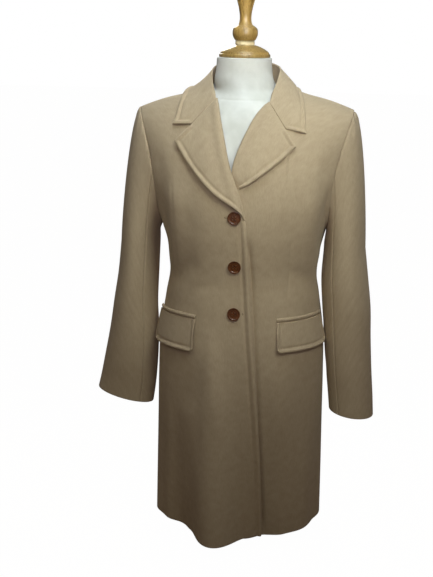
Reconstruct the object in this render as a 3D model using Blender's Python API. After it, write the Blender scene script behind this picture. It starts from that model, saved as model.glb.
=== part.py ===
"""Single-breasted wool coat with a notch collar, flap pockets and two-piece sleeves, on a dress form.

Metres, +Z up. The origin is the centre of the underside of the base, and the coat faces -Y.
The wearer's right is -X. The right front laps over the left front.
"""
import bmesh
import bpy
import numpy as np
from mathutils import Matrix, Vector

RIGHT = -1
LEFT = 1


def table(names, *rows):
    """Table of sizes with named columns."""
    return dict(zip(names.split(), np.array(rows, float).T))


# Cloth
WALL = 0.0025
SEAM_GAP = 0.0003
LAY_GAP = 0.0004
LAPEL_WALL = 0.003
COLLAR_WALL = 0.003
LAP_LIFT = WALL + 0.0006
LAP_LOOSE = 0.0030
LAP_LOOSE_FROM = 0.48
LAP_FADE_FROM = -0.095
LAP_FADE_TO = -0.050

# Body of the coat
COAT_SHIFT = 0.0065
UNDERARM = 0.635
TIP = 0.861
NECK_POINT = 0.072
BACK_NECK_DROP = 0.903
FRONT_ROLL = 2.0
BACK_ROLL = 3.5
HEM_FRONT = 0.020
HEM_SIDE = 0.034

BODY = table(
    "level half_width front back square",
    (0.0, 0.168, 0.128, 0.15, 2.2),
    (0.15, 0.1676, 0.14, 0.148, 2.2),
    (0.26, 0.1665, 0.149, 0.142, 2.25),
    (0.34, 0.1655, 0.154, 0.136, 2.3),
    (0.42, 0.1625, 0.155, 0.128, 2.3),
    (0.5, 0.151, 0.15, 0.116, 2.3),
    (0.558, 0.1425, 0.147, 0.108, 2.3),
    (0.6, 0.15, 0.151, 0.109, 2.3),
    (0.635, 0.159, 0.155, 0.112, 2.3),
    (0.69, 0.175, 0.158, 0.114, 2.3),
    (0.725, 0.186, 0.157, 0.114, 2.3),
    (0.773, 0.2, 0.154, 0.113, 2.3),
    (0.817, 0.214, 0.152, 0.112, 2.3),
    (0.861, 0.232, 0.15, 0.112, 2.3),
)

SHOULDER = table(
    "x z",
    (0.0, 0.93),
    (0.045, 0.917),
    (0.075, 0.902),
    (0.11, 0.89),
    (0.16, 0.877),
    (0.203, 0.861),
    (0.225, 0.851),
)

ARMHOLE = table(
    "rise front_turn back_turn",
    (0.0, 1.5708, 1.5708),
    (0.04, 1.457, 1.47),
    (0.1, 1.363, 1.395),
    (0.2, 1.25, 1.31),
    (0.35, 1.145, 1.225),
    (0.5, 1.1, 1.185),
    (0.65, 1.085, 1.165),
    (0.8, 1.09, 1.145),
    (1.0, 1.065, 1.065),
)

FRONT_EDGE = table(
    "z right left",
    (0.0, 0.0662, 0.0),
    (0.2, 0.0582, -0.01),
    (0.35, 0.0477, -0.016),
    (0.496, 0.0348, -0.02),
    (0.586, 0.0282, -0.02),
    (0.64, 0.0247, -0.019),
    (0.672, 0.0213, -0.018),
    (0.7, 0.0108, -0.014),
    (0.759, -0.0125, -0.006),
    (0.813, -0.0265, 0.0125),
    (0.854, -0.0378, 0.0335),
    (0.879, -0.055, 0.06),
    (0.901, -0.075, 0.088),
)

FOLDS = table(
    "hem_turn top_turn depth reach top",
    (-0.175, -0.29, 0.047, 0.35, 0.44),
    (-0.72, -0.7, -0.012, 0.26, 0.36),
    (0.4, 0.36, -0.012, 0.26, 0.36),
    (0.95, 0.92, 0.006, 0.3, 0.36),
    (-1.3, -1.28, 0.006, 0.26, 0.36),
    (1.45, 1.42, 0.005, 0.26, 0.36),
    (-1.55, -1.55, -0.0065, 0.35, 0.4),
    (-1.95, -1.95, -0.01, 0.28, 0.4),
    (2.05, 2.05, -0.009, 0.28, 0.4),
    (-2.55, -2.5, 0.012, 0.32, 0.42),
    (2.6, 2.55, 0.011, 0.3, 0.42),
)

# Sleeves: outer and inner outline seen from the front, middle depth and fore-and-aft half depth
SLEEVE_RIGHT = table(
    "z outer inner middle depth slant",
    (0.274, 0.2865, 0.172, -0.014, 0.037, 0.24),
    (0.3, 0.2815, 0.168, -0.012, 0.042, 0.18),
    (0.35, 0.2725, 0.1635, -0.01, 0.052, 0.1),
    (0.42, 0.26, 0.1625, -0.007, 0.062, 0.05),
    (0.48, 0.2515, 0.1665, -0.004, 0.068, 0.02),
    (0.54, 0.2425, 0.1655, 0.0, 0.073, 0.0),
    (0.6, 0.237, 0.164, 0.004, 0.076, 0.0),
)
SLEEVE_LEFT = table(
    "z outer inner middle depth slant",
    (0.262, 0.2795, 0.19, -0.014, 0.046, -0.1),
    (0.3, 0.2765, 0.186, -0.012, 0.048, -0.06),
    (0.35, 0.2715, 0.18, -0.01, 0.053, -0.02),
    (0.42, 0.266, 0.1745, -0.007, 0.06, 0.0),
    (0.48, 0.2625, 0.169, -0.004, 0.066, 0.0),
    (0.54, 0.2545, 0.1645, 0.0, 0.071, 0.0),
    (0.6, 0.246, 0.165, 0.004, 0.074, 0.0),
)
SLEEVE_RINGS = 14
HEAD_RINGS = 5
HEAD_PUFF = 0.055
PIT_PUFF = 0.012
PIT_SHARE = 0.45
PIT_OUT = (0.8, 0.6)
PIT_IN = (0.3, 1.0)
ARMHOLE_GAP = 0.0006
TIP_GAP = 0.0008
TIP_FROM = 0.7
HEAD_FALL = 0.26
HEAD_FORE = 0.6
HEAD_DROP = -0.15
ARM_OUT = 0.03
ARM_FORE = -0.04
PIT_FALL = 0.045
UNDER_SLEEVE_ROWS = 3

# Collar, one half; the leaf lies lower on the right
COLLAR = table(
    "station foot_x foot_y foot_z roll_x roll_y roll_z edge_x edge_y edge_z",
    (0.0, 0.0, 0.057, 0.905, 0.0, 0.066, 0.949, 0.0, 0.086, 0.88),
    (0.17, 0.033, 0.05, 0.906, 0.035, 0.058, 0.948, 0.046, 0.078, 0.8815),
    (0.34, 0.055, 0.03, 0.9055, 0.0535, 0.034, 0.945, 0.084, 0.05, 0.889),
    (0.5, 0.0655, 0.008, 0.905, 0.0615, 0.009, 0.939, 0.104, 0.012, 0.897),
    (0.62, 0.0665, -0.012, 0.9045, 0.062, -0.014, 0.93, 0.111, -0.019, 0.8935),
    (0.75, 0.06, -0.036, 0.9, 0.0585, -0.04, 0.914, 0.1165, -0.045, 0.878),
    (0.88, 0.052, -0.056, 0.89, 0.0525, -0.06, 0.896, 0.12, -0.0685, 0.8545),
)
COLLAR_BULGE = {RIGHT: -0.013, LEFT: 0.008}
COLLAR_LEAN = 0.004
COLLAR_CLEAR = 0.0014
GORGE_TOP = {RIGHT: (-0.0430, 0.8800), LEFT: (0.0530, 0.8770)}
NOTCH = {RIGHT: (-0.0876, 0.8353), LEFT: (0.0862, 0.8310)}
COLLAR_CORNER = {RIGHT: (-0.1225, 0.8325), LEFT: (0.1210, 0.8232)}
GORGE_SHARE = 0.60
GORGE_GAP = 0.0024
COLLAR_STATIONS = 10
LEAF_ROWS = 5

LAPEL_RIGHT = table(
    "share roll_x roll_z edge_x edge_z",
    (0.0, 0.0205, 0.675, 0.0185, 0.6735),
    (0.08, 0.0152, 0.689, 0.0115, 0.6885),
    (0.16, 0.0086, 0.706, -0.005, 0.6985),
    (0.3, -0.0048, 0.74, -0.0342, 0.7165),
    (0.46, -0.0165, 0.774, -0.061, 0.7395),
    (0.62, -0.0248, 0.806, -0.085, 0.764),
    (0.8, -0.0345, 0.844, -0.1035, 0.7875),
    (1.0, -0.043, 0.88, -0.1155, 0.8055),
)
LAPEL_LEFT = table(
    "share roll_x roll_z edge_x edge_z",
    (0.0, 0.0035, 0.727, 0.0068, 0.7275),
    (0.14, -0.002, 0.746, 0.025, 0.7368),
    (0.3, -0.0008, 0.771, 0.044, 0.7505),
    (0.46, 0.0075, 0.798, 0.062, 0.764),
    (0.62, 0.0182, 0.824, 0.079, 0.777),
    (0.8, 0.0325, 0.852, 0.093, 0.79),
    (1.0, 0.053, 0.877, 0.105, 0.8015),
)
LAPEL_BELLY = 0.003
LAPEL_ROWS = 13
LAPEL_COLUMNS = 6

# Pockets
JET_TOP = 0.4870
JET_HEIGHT = 0.0085
JET_WALL = 0.0020
FLAP_TOP = 0.4780
FLAP_BOTTOM = {RIGHT: 0.4145, LEFT: 0.4200}
FLAP_WALL = 0.0030
FLAP_STAND = 0.0045
POCKET_FROM = 0.0745
POCKET_TO_TURN = 1.40
POCKET_DROP = {RIGHT: 0.010, LEFT: 0.007}
FLAP_CORNER = 0.009
FLAP_SPREAD = 0.02
FLAP_COLUMNS = 10
FLAP_ROWS = 5
JET_COLUMNS = 9

# Buttons
BUTTON_X = (0.001, 0.003, 0.0035)
BUTTON_Z = (0.678, 0.587, 0.496)
BUTTON_R = 0.0127
BUTTON_H = 0.0042
BUTTON_PROFILE = table(
    "radius height",
    (0.72, 0.00),
    (0.95, 0.25),
    (1.00, 0.55),
    (0.95, 1.00),
    (0.80, 0.92),
    (0.70, 0.70),
)
BUTTON_HOLE_R = 0.00115
BUTTON_HOLE_AT = 0.0026
BUTTON_HOLE_SIDES = 8
BUTTON_SEGMENTS = 20

# Dress form
FORM_CLEAR = 0.0032
FORM_BOTTOM = 0.270
FORM_NECK_BACK = -0.006
FORM_SHIFT_FROM = 0.875
FORM_SHIFT_OVER = 0.050
FORM = table(
    "z half_width front back neck",
    (0.27, 0.128, 0.105, 0.1, 0.0),
    (0.34, 0.14, 0.125, 0.112, 0.0),
    (0.42, 0.141, 0.128, 0.11, 0.0),
    (0.5, 0.129, 0.12, 0.098, 0.0),
    (0.558, 0.122, 0.114, 0.09, 0.0),
    (0.62, 0.132, 0.126, 0.094, 0.0),
    (0.68, 0.148, 0.14, 0.098, 0.0),
    (0.74, 0.158, 0.14, 0.102, 0.0),
    (0.79, 0.166, 0.14, 0.102, 0.0),
    (0.83, 0.17, 0.14, 0.102, 0.03),
    (0.85, 0.165, 0.14, 0.102, 0.05),
    (0.862, 0.155, 0.14, 0.102, 0.055),
    (0.874, 0.136, 0.14, 0.102, 0.0585),
    (0.884, 0.108, 0.14, 0.102, 0.059),
    (0.893, 0.084, 0.14, 0.102, 0.0585),
    (0.902, 0.064, 0.14, 0.102, 0.0578),
    (0.914, 0.0565, 0.14, 0.102, 0.0565),
    (0.93, 0.0535, 0.14, 0.102, 0.0535),
    (0.956, 0.0515, 0.14, 0.102, 0.0515),
)
NECK_BLEND = 8.0
FORM_ROUND = 32

CAP_PROFILE = table(
    "z r",
    (0.9563, 0.0),
    (0.9563, 0.047),
    (0.9575, 0.0482),
    (0.9615, 0.0482),
    (0.963, 0.0468),
    (0.9665, 0.0445),
    (0.972, 0.0365),
    (0.9765, 0.0265),
    (0.9785, 0.0205),
    (0.9785, 0.0),
)
RING_PROFILE = table(
    "z r",
    (0.9788, 0.0),
    (0.9788, 0.0172),
    (0.98, 0.0181),
    (0.9855, 0.0181),
    (0.9866, 0.0172),
    (0.9866, 0.0),
)
FINIAL_PROFILE = table(
    "z r",
    (0.9869, 0.0),
    (0.9869, 0.018),
    (0.99, 0.0205),
    (0.996, 0.0232),
    (1.003, 0.0237),
    (1.009, 0.0222),
    (1.013, 0.0175),
    (1.016, 0.0132),
    (1.024, 0.011),
    (1.035, 0.0112),
    (1.048, 0.0135),
    (1.06, 0.0166),
    (1.072, 0.0184),
    (1.082, 0.017),
    (1.089, 0.011),
    (1.0915, 0.0),
)
POLE_PROFILE = table(
    "z r",
    (0.0183, 0.0),
    (0.0183, 0.0125),
    (0.2697, 0.0125),
    (0.2697, 0.0),
)
BASE_PROFILE = table(
    "z r",
    (0.0, 0.0),
    (0.0, 0.091),
    (0.003, 0.095),
    (0.011, 0.095),
    (0.015, 0.088),
    (0.018, 0.03),
    (0.018, 0.0),
)
TURNED_SEGMENTS = 24

FRONT_ROWS_LOW = 15
FRONT_ROWS_HIGH = 11
FRONT_COLUMNS = 14
EDGE_CROWD = 1.25
BACK_ROWS_LOW = 11
BACK_COLUMNS = 9


def along(table, key, column, at):
    """Smooth value of one column of a table at given places of its key column."""
    knots = np.asarray(table[key], float)
    values = np.asarray(table[column], float)
    slopes = np.gradient(values, knots)
    at = np.clip(np.asarray(at, float), knots[0], knots[-1])
    left = np.clip(np.searchsorted(knots, at, side="right") - 1, 0, len(knots) - 2)
    step = knots[left + 1] - knots[left]
    t = (at - knots[left]) / step
    start = (2 * t + 1) * (1 - t) ** 2 * values[left] + t * (1 - t) ** 2 * slopes[left] * step
    end = t * t * (3 - 2 * t) * values[left + 1] + t * t * (t - 1) * slopes[left + 1] * step
    return start + end


def ease(value):
    """Soft step from 0 to 1."""
    value = np.clip(value, 0.0, 1.0)
    return value * value * (3 - 2 * value)


def unit(vectors):
    """Vectors of length one."""
    return vectors / np.maximum(np.linalg.norm(vectors, axis=-1, keepdims=True), 1e-12)


def shoulder_height(x):
    """Height of the shoulder line at a distance from the middle of the coat."""
    return along(SHOULDER, "x", "z", np.abs(x))


def level_of(x, z):
    """Section level of a point of the coat: its height, following the shoulder slope above the underarm."""
    rise = (np.asarray(z, float) - UNDERARM) / (shoulder_height(x) - UNDERARM)
    return np.where(rise <= 0, z, UNDERARM + (TIP - UNDERARM) * np.minimum(rise, 1.0))


def height_of(x, level):
    """Height of a section level at a distance from the middle of the coat."""
    rise = (level - UNDERARM) / (TIP - UNDERARM)
    return np.where(rise <= 0, level, UNDERARM + (shoulder_height(x) - UNDERARM) * rise)


def fold_out(side, turn, level):
    """How far the hanging folds stand out at a signed turn round the coat."""
    out = np.zeros(np.broadcast(turn, level).shape)
    for hem_turn, top_turn, depth, reach, top in zip(*(FOLDS[name] for name in FOLDS)):
        if side == LEFT and hem_turn < 0:
            continue
        share = np.clip(1 - level / top, 0.0, 1.0)
        middle = top_turn + (hem_turn - top_turn) * share
        away = np.clip(np.abs(turn - middle) / reach, 0.0, 1.0)
        out = out + depth * share ** 1.15 * 0.5 * (1 + np.cos(np.pi * away))
    return out


def body_point(side, turn, level):
    """Point of the coat's outer surface. Turn is 0 at the centre front and pi at the centre back."""
    turn, level = np.broadcast_arrays(np.asarray(turn, float), np.asarray(level, float))
    across = np.sin(turn)
    half_width = along(BODY, "level", "half_width", level)
    square = along(BODY, "level", "square", level)
    rise = np.clip((level - UNDERARM) / (TIP - UNDERARM), 0.0, 1.0)
    is_front = np.cos(turn) >= 0
    front = along(BODY, "level", "front", level)
    back = along(BODY, "level", "back", level)
    front_reach = front * np.sqrt(1 - rise ** FRONT_ROLL)
    back_reach = back * np.sqrt(1 - rise ** BACK_ROLL)
    reach = np.where(is_front, front_reach, back_reach)
    swell = np.maximum(1 - np.abs(across) ** square, 0.0) ** (1 / square)
    x = half_width * across
    y = np.where(is_front, -reach, reach) * swell
    depth = np.where(is_front, front, back)
    outward = unit(np.stack([x / half_width ** 2, y / depth ** 2], -1))
    out = fold_out(side, side * turn, level)
    x = x + outward[..., 0] * out
    y = y + outward[..., 1] * out
    z = height_of(x, level)
    return np.stack([side * x + COAT_SHIFT, y, z], -1)


def body_normal(side, turn, level):
    """Outward direction of the coat's surface."""
    step_turn = 1e-4
    step_level = 1e-5
    round_way = body_point(side, turn + step_turn, level) - body_point(side, turn - step_turn, level)
    up_way = body_point(side, turn, level) - body_point(side, turn, level - step_level)
    return unit(np.cross(round_way, up_way) * side)


def front_place(side, x, z):
    """Turn and level of a point of the front given by its place seen from the front."""
    own = side * (np.asarray(x, float) - COAT_SHIFT)
    level = level_of(own, z)
    half_width = along(BODY, "level", "half_width", level)
    return np.arcsin(np.clip(own / half_width, -1.0, 1.0)), level


def lap_lift(side, x, z):
    """Extra height of the right front where it lies over the left front, looser towards the hem."""
    if side == LEFT:
        return np.zeros(np.shape(x))
    loose = LAP_LOOSE * np.clip(1 - np.asarray(z) / LAP_LOOSE_FROM, 0.0, 1.0)
    return (LAP_LIFT + loose) * ease((np.asarray(x) - LAP_FADE_FROM) / (LAP_FADE_TO - LAP_FADE_FROM))


def on_front(side, x, z, out):
    """Point a given distance out from a front."""
    turn, level = front_place(side, x, z)
    return body_point(side, turn, level) + body_normal(side, turn, level) * np.asarray(out)[..., None]


def clear_scene():
    """Empty the scene."""
    for item in list(bpy.data.objects):
        bpy.data.objects.remove(item, do_unlink=True)


def material(name, colour, roughness):
    """Principled material of one colour."""
    made = bpy.data.materials.new(name)
    made.use_nodes = True
    shader = made.node_tree.nodes["Principled BSDF"]
    shader.inputs["Base Color"].default_value = (*colour, 1.0)
    shader.inputs["Roughness"].default_value = roughness
    return made


def solid(name, points, faces, surface):
    """Closed object of given points and faces, turned right side out."""
    mesh = bpy.data.meshes.new(name)
    mesh.from_pydata([tuple(map(float, p)) for p in points], [], faces)
    shape = bmesh.new()
    shape.from_mesh(mesh)
    if shape.calc_volume(signed=True) < 0:
        bmesh.ops.reverse_faces(shape, faces=shape.faces[:])
    shape.to_mesh(mesh)
    shape.free()
    mesh.materials.append(surface)
    made = bpy.data.objects.new(name, mesh)
    bpy.context.scene.collection.objects.link(made)
    return made


def wall(name, outer, inner, surface):
    """Cloth wall between an outer and an inner grid of points."""
    rows, columns = outer.shape[:2]
    points = np.concatenate([outer.reshape(-1, 3), inner.reshape(-1, 3)])
    back = rows * columns
    faces = []
    for i in range(rows - 1):
        for j in range(columns - 1):
            a = i * columns + j
            b = a + columns
            faces.append((a, a + 1, b + 1, b))
            faces.append((back + a, back + b, back + b + 1, back + a + 1))
    for i in range(rows - 1):
        a = i * columns
        b = a + columns
        faces.append((a, b, back + b, back + a))
        a = a + columns - 1
        b = b + columns - 1
        faces.append((a, back + a, back + b, b))
    for j in range(columns - 1):
        faces.append((j, back + j, back + j + 1, j + 1))
        a = (rows - 1) * columns + j
        faces.append((a, a + 1, back + a + 1, back + a))
    return solid(name, points, faces, surface)


def rings_solid(name, rings, surface):
    """Solid through closed rings, closed flat at both ends."""
    count, around = rings.shape[:2]
    faces = []
    for i in range(count - 1):
        for j in range(around):
            a = i * around + j
            b = i * around + (j + 1) % around
            faces.append((a, b, b + around, a + around))
    faces.append(tuple(range(around))[::-1])
    faces.append(tuple(range((count - 1) * around, count * around)))
    return solid(name, rings.reshape(-1, 3), faces, surface)


def turned(name, profile, surface):
    """Turned solid about the form's axis from a profile of heights and radii."""
    heights = np.asarray(profile["z"], float)[1:-1]
    radii = np.asarray(profile["r"], float)[1:-1]
    angle = np.linspace(0.0, 2 * np.pi, TURNED_SEGMENTS, endpoint=False)
    rings = np.stack([radii[:, None] * np.cos(angle), radii[:, None] * np.sin(angle),
                      np.broadcast_to(heights[:, None], (len(heights), TURNED_SEGMENTS))], -1)
    return rings_solid(name, rings, surface)


def hem_height(turn):
    """Height of the hem round the coat."""
    return HEM_FRONT + (HEM_SIDE - HEM_FRONT) * np.sin(turn) ** 2


def row_levels(low_rows, power):
    """Shares of the height below the underarm, then levels above it, closer towards the shoulder."""
    low = np.linspace(0.0, 1.0, low_rows)
    swing = np.linspace(0.0, np.pi / 2, FRONT_ROWS_HIGH)[1:]
    high = UNDERARM + (TIP - UNDERARM) * np.sin(swing) ** (2 / power)
    return low, high


def edge_turns(side, level):
    """Turn of the front edge and roll line at given levels."""
    column = "right" if side == RIGHT else "left"
    heights = np.asarray(FRONT_EDGE["z"], float)
    places = np.asarray(FRONT_EDGE[column], float)
    own_level = level_of(side * (places - COAT_SHIFT), heights)
    x = along({"level": own_level, "x": places}, "level", "x", level)
    half_width = along(BODY, "level", "half_width", level)
    return np.arcsin(side * (x - COAT_SHIFT) / half_width)


def front_grid(side):
    """Turns and levels of the points of a front, from the hem up to the shoulder seam."""
    low, high = row_levels(FRONT_ROWS_LOW, FRONT_ROLL)
    share = np.linspace(0.0, 1.0, FRONT_COLUMNS) ** EDGE_CROWD
    turns = []
    levels = []
    for part in low:
        mean = HEM_FRONT + (UNDERARM - HEM_FRONT) * part
        turn = edge_turns(side, mean) * (1 - share) + np.pi / 2 * share
        turns.append(turn)
        levels.append(hem_height(turn) + (UNDERARM - hem_height(turn)) * part)
    for level in high:
        rise = (level - UNDERARM) / (TIP - UNDERARM)
        outer = along(ARMHOLE, "rise", "front_turn", rise)
        turns.append(edge_turns(side, level) * (1 - share) + outer * share)
        levels.append(np.full(FRONT_COLUMNS, level))
    return np.array(turns), np.array(levels)


def back_grid():
    """Turns and levels of the points of a back, from the hem up to the shoulder seam and the neck."""
    low, high = row_levels(BACK_ROWS_LOW, BACK_ROLL)
    share = np.linspace(0.0, 1.0, BACK_COLUMNS)
    neck_level = level_of(0.0, BACK_NECK_DROP)
    turns = []
    levels = []
    for part in low:
        turn = np.pi / 2 * (1 + share)
        turns.append(turn)
        levels.append(hem_height(turn) + (UNDERARM - hem_height(turn)) * part)
    for level in high:
        rise = (level - UNDERARM) / (TIP - UNDERARM)
        outer = np.pi - along(ARMHOLE, "rise", "back_turn", rise)
        over = ease((level - neck_level) / (TIP - neck_level))
        half_width = along(BODY, "level", "half_width", level)
        inner = np.pi - np.arcsin(NECK_POINT / half_width) * over ** 0.5
        turns.append(outer * (1 - share) + inner * share)
        levels.append(np.full(BACK_COLUMNS, level))
    return np.array(turns), np.array(levels)


def panel_walls(side, turns, levels, is_front):
    """Outer and inner points of a panel with its seam edges drawn back by half the seam gap."""
    points = body_point(side, turns, levels)
    normals = body_normal(side, turns, levels)
    seam_rows = levels[:, 0] <= UNDERARM + 1e-9
    side_column = -1 if is_front else 0
    normals[seam_rows, side_column, 1] = 0.0
    normals[-1, :, 1] = 0.0
    if not is_front:
        middle = np.abs(turns[:, -1] - np.pi) < 1e-6
        normals[middle, -1, 0] = 0.0
        points[middle, -1, 0] = COAT_SHIFT + side * SEAM_GAP / 2
    normals = unit(normals)
    way = -1 if is_front else 1
    points[seam_rows, side_column, 1] = way * SEAM_GAP / 2
    points[-1, :, 1] = way * SEAM_GAP / 2
    lift = lap_lift(side, points[..., 0], points[..., 2]) if is_front else np.zeros(points.shape[:2])
    outer = points + normals * lift[..., None]
    return outer, outer - normals * WALL


def armhole_rings(side, front, front_inner, back, back_inner):
    """Outer and inner closed rings just outside the armhole: shoulder tip, front, underarm, back."""
    halves = []
    front_half = (front, front_inner, FRONT_ROWS_LOW, -1, -2)
    back_half = (back, back_inner, BACK_ROWS_LOW, 0, 1)
    for outer, inner, low, edge, near in (front_half, back_half):
        rows = slice(low - 1, None)
        away = unit(outer[rows, edge] - outer[rows, near])
        share = np.linspace(0.0, 1.0, len(away))[:, None]
        pit = ease(1 - share / PIT_SHARE)
        away = unit(away * (1 - pit) + np.array([side * PIT_OUT[0], 0.0, PIT_OUT[1]]) * pit)
        inward = inner[rows, edge] - outer[rows, edge]
        pit_way = np.array([side * PIT_IN[0], 0.0, PIT_IN[1]]) * WALL
        inward = unit(inward * (1 - pit) + pit_way * pit) * WALL
        gap = ARMHOLE_GAP + TIP_GAP * ease((share - TIP_FROM) / (1 - TIP_FROM))
        ring = outer[rows, edge] + away * gap
        halves.append((ring, ring + inward))
    rings = []
    for first, second in zip(*halves):
        tip = (first[-1] + second[-1]) / 2
        pit = (first[0] + second[0]) / 2
        rings.append(np.concatenate([tip[None], first[-2:0:-1], pit[None], second[1:-1]]))
    return rings


def sleeve_grid(side, ring, sizes):
    """Points of a whole sleeve: rings from the armhole to the cuff."""
    around = len(ring)
    swing = np.linspace(0.0, 2 * np.pi, around, endpoint=False)
    top = sizes["z"][-1]
    cuff = sizes["z"][0]

    def ellipse(z):
        outer = along(sizes, "z", "outer", z)
        inner = along(sizes, "z", "inner", z)
        across = (outer - inner) / 2 * np.cos(swing)
        x = side * ((outer + inner) / 2 + across)
        y = along(sizes, "z", "middle", z) - along(sizes, "z", "depth", z) * np.sin(swing)
        return np.stack([x, y, z + along(sizes, "z", "slant", z) * across], -1)

    low = ellipse(top)
    lean = 0.5 * (1 + np.cos(swing))[:, None]
    fore = -np.sin(swing)
    flat = np.ones(around)
    start = unit(np.stack([flat * side, fore * HEAD_FORE, flat * HEAD_DROP], -1))
    start = start * (PIT_PUFF + (HEAD_PUFF - PIT_PUFF) * lean)
    finish = np.array([side * ARM_OUT, ARM_FORE, -1.0]) * (PIT_FALL + (HEAD_FALL - PIT_FALL) * lean)
    rings = []
    for t in np.linspace(0.0, 1.0, HEAD_RINGS + 1)[:-1]:
        rings.append((2 * t + 1) * (1 - t) ** 2 * ring + t * (1 - t) ** 2 * start
                     + t * t * (3 - 2 * t) * low + t * t * (t - 1) * finish)
    for z in np.linspace(top, cuff, SLEEVE_RINGS - HEAD_RINGS):
        rings.append(ellipse(z))
    return np.array(rings)


def sleeve_walls(side, grid, first_inner):
    """Outer and inner points of a sleeve."""
    round_way = np.roll(grid, -1, axis=1) - np.roll(grid, 1, axis=1)
    down_way = np.gradient(grid, axis=0)
    normals = unit(np.cross(down_way, round_way) * side)
    outward = grid - grid.mean(axis=1, keepdims=True)
    flip = np.sign((normals[-1] * outward[-1]).sum())
    normals = normals * flip
    inner = grid - normals * WALL
    inner[0] = first_inner
    return grid, inner


def sleeve_part(name, outer, inner, columns, surface):
    """One part of a sleeve between two seams, its seam edges drawn back by half the seam gap."""
    part_outer = outer[:, columns].copy()
    part_inner = inner[:, columns].copy()
    for edge, near in ((0, 1), (-1, -2)):
        away = unit(part_outer[:, near] - part_outer[:, edge]) * SEAM_GAP / 2
        part_outer[:, edge] += away
        part_inner[:, edge] += away
    return wall(name, part_outer, part_inner, surface)


def collar_point(line, station):
    """Point of one of the collar's lines at a station from the centre back to the front."""
    return np.array([along(COLLAR, "station", f"{line}_{axis}", station) for axis in "xyz"])


def collar_grid():
    """Points of the collar's showing side: stand, fold and leaf, from the right front end to the left."""
    stations = np.linspace(0.0, COLLAR["station"][-1], COLLAR_STATIONS)
    leaf = np.linspace(0.0, 1.0, LEAF_ROWS + 1)[1:]

    def half(side):
        rows = []
        for station in stations:
            foot = collar_point("foot", station)
            roll = collar_point("roll", station)
            edge = collar_point("edge", station)
            row = [foot, (foot + roll) / 2, roll]
            high = (roll + edge) / 2 + np.array([0.0, 0.0, COLLAR_BULGE[side]])
            for t in leaf:
                row.append((1 - t) ** 2 * roll + 2 * t * (1 - t) * high + t * t * edge)
            row = np.array(row) * (side, 1, 1)
            row[:3, 0] += COLLAR_LEAN
            row[3:, 0] += COLLAR_LEAN * (1 - leaf) ** 2
            rows.append(row)
        end = collar_end(side, leaf)
        rows.append((rows[-1] + end) / 2)
        rows.append(end)
        return np.array(rows)

    right = half(RIGHT)
    left = half(LEFT)
    return np.concatenate([right[::-1], left[1:]])


def push_out(points, spare):
    """Move points so that they stay a given distance outside the shoulders, upper fronts and backs."""
    turn = np.linspace(0.15, np.pi - 0.05, 70)
    level = UNDERARM + (TIP - UNDERARM) * np.sin(np.linspace(0.35, np.pi / 2 - 0.002, 60))
    turns, levels = np.meshgrid(turn, level)
    moved = points.copy()
    for side in (RIGHT, LEFT):
        spots = body_point(side, turns, levels).reshape(-1, 3)
        normals = body_normal(side, turns, levels).reshape(-1, 3)
        own = np.flatnonzero(side * (moved[:, 0] - COAT_SHIFT) > 0)
        for index in own:
            near = np.argmin(np.linalg.norm(spots - moved[index], axis=-1))
            out = (moved[index] - spots[near]) @ normals[near]
            need = spare + float(lap_lift(side, moved[index, 0], moved[index, 2]))
            if out < need:
                moved[index] += normals[near] * (need - out)
    return moved


def collar_end(side, leaf):
    """Points of the collar's front end: along the gorge seam to the notch, then free to the corner."""
    top = np.array(GORGE_TOP[side])
    notch = np.array(NOTCH[side])
    corner = np.array(COLLAR_CORNER[side])
    places = [top - (0.0, GORGE_GAP / 2), top - (0.0, GORGE_GAP / 4), top]
    for t in leaf:
        if t <= GORGE_SHARE:
            places.append(top + (notch - top) * t / GORGE_SHARE)
        else:
            places.append(notch + (corner - notch) * (t - GORGE_SHARE) / (1 - GORGE_SHARE))
    places = np.array(places) + (0.0, GORGE_GAP)
    out = lap_lift(side, places[:, 0], places[:, 1]) + LAY_GAP * 2 + COLLAR_WALL
    out[:2] -= (COLLAR_WALL / 3, COLLAR_WALL / 6)
    return on_front(side, places[:, 0], places[:, 1], out)


def grid_normals(grid):
    """Directions square to a grid of points."""
    return unit(np.cross(np.gradient(grid, axis=0), np.gradient(grid, axis=1)))


def collar_walls():
    """Outer and inner points of the collar."""
    outer = collar_grid()
    leaf = outer[:, 3:].reshape(-1, 3)
    outer[:, 3:] = push_out(leaf, COLLAR_WALL + COLLAR_CLEAR).reshape(outer[:, 3:].shape)
    normals = grid_normals(outer)
    middle = len(outer) // 2
    if normals[middle, -1, 1] < 0:
        normals = -normals
    return outer, outer - normals * COLLAR_WALL


def lapel_walls(side, sizes):
    """Outer and inner points of a lapel lying on its front."""
    share = np.linspace(0.0, 1.0, LAPEL_ROWS)
    across = np.linspace(0.0, 1.0, LAPEL_COLUMNS)
    roll = np.stack([along(sizes, "share", "roll_x", share), along(sizes, "share", "roll_z", share)], -1)
    edge = np.stack([along(sizes, "share", "edge_x", share), along(sizes, "share", "edge_z", share)], -1)
    place = roll[:, None] * (1 - across[None, :, None]) + edge[:, None] * across[None, :, None]
    lift = lap_lift(side, place[..., 0], place[..., 1])
    belly = LAPEL_BELLY * np.sin(np.pi * across)[None, :] * np.sin(np.pi * share)[:, None]
    inner = on_front(side, place[..., 0], place[..., 1], lift + LAY_GAP * 2 + belly)
    outer = on_front(side, place[..., 0], place[..., 1], lift + LAY_GAP * 2 + belly + LAPEL_WALL)
    return outer, inner


def pocket_turns(side, z, columns):
    """Turns of a pocket from its front end to its end near the side."""
    start, _ = front_place(side, COAT_SHIFT + side * POCKET_FROM, z)
    return np.linspace(float(start), POCKET_TO_TURN, columns)


def pocket_drop(side, columns):
    """How far a pocket drops from its front end towards the side."""
    return POCKET_DROP[side] * np.linspace(0.0, 1.0, columns) ** 2


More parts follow.
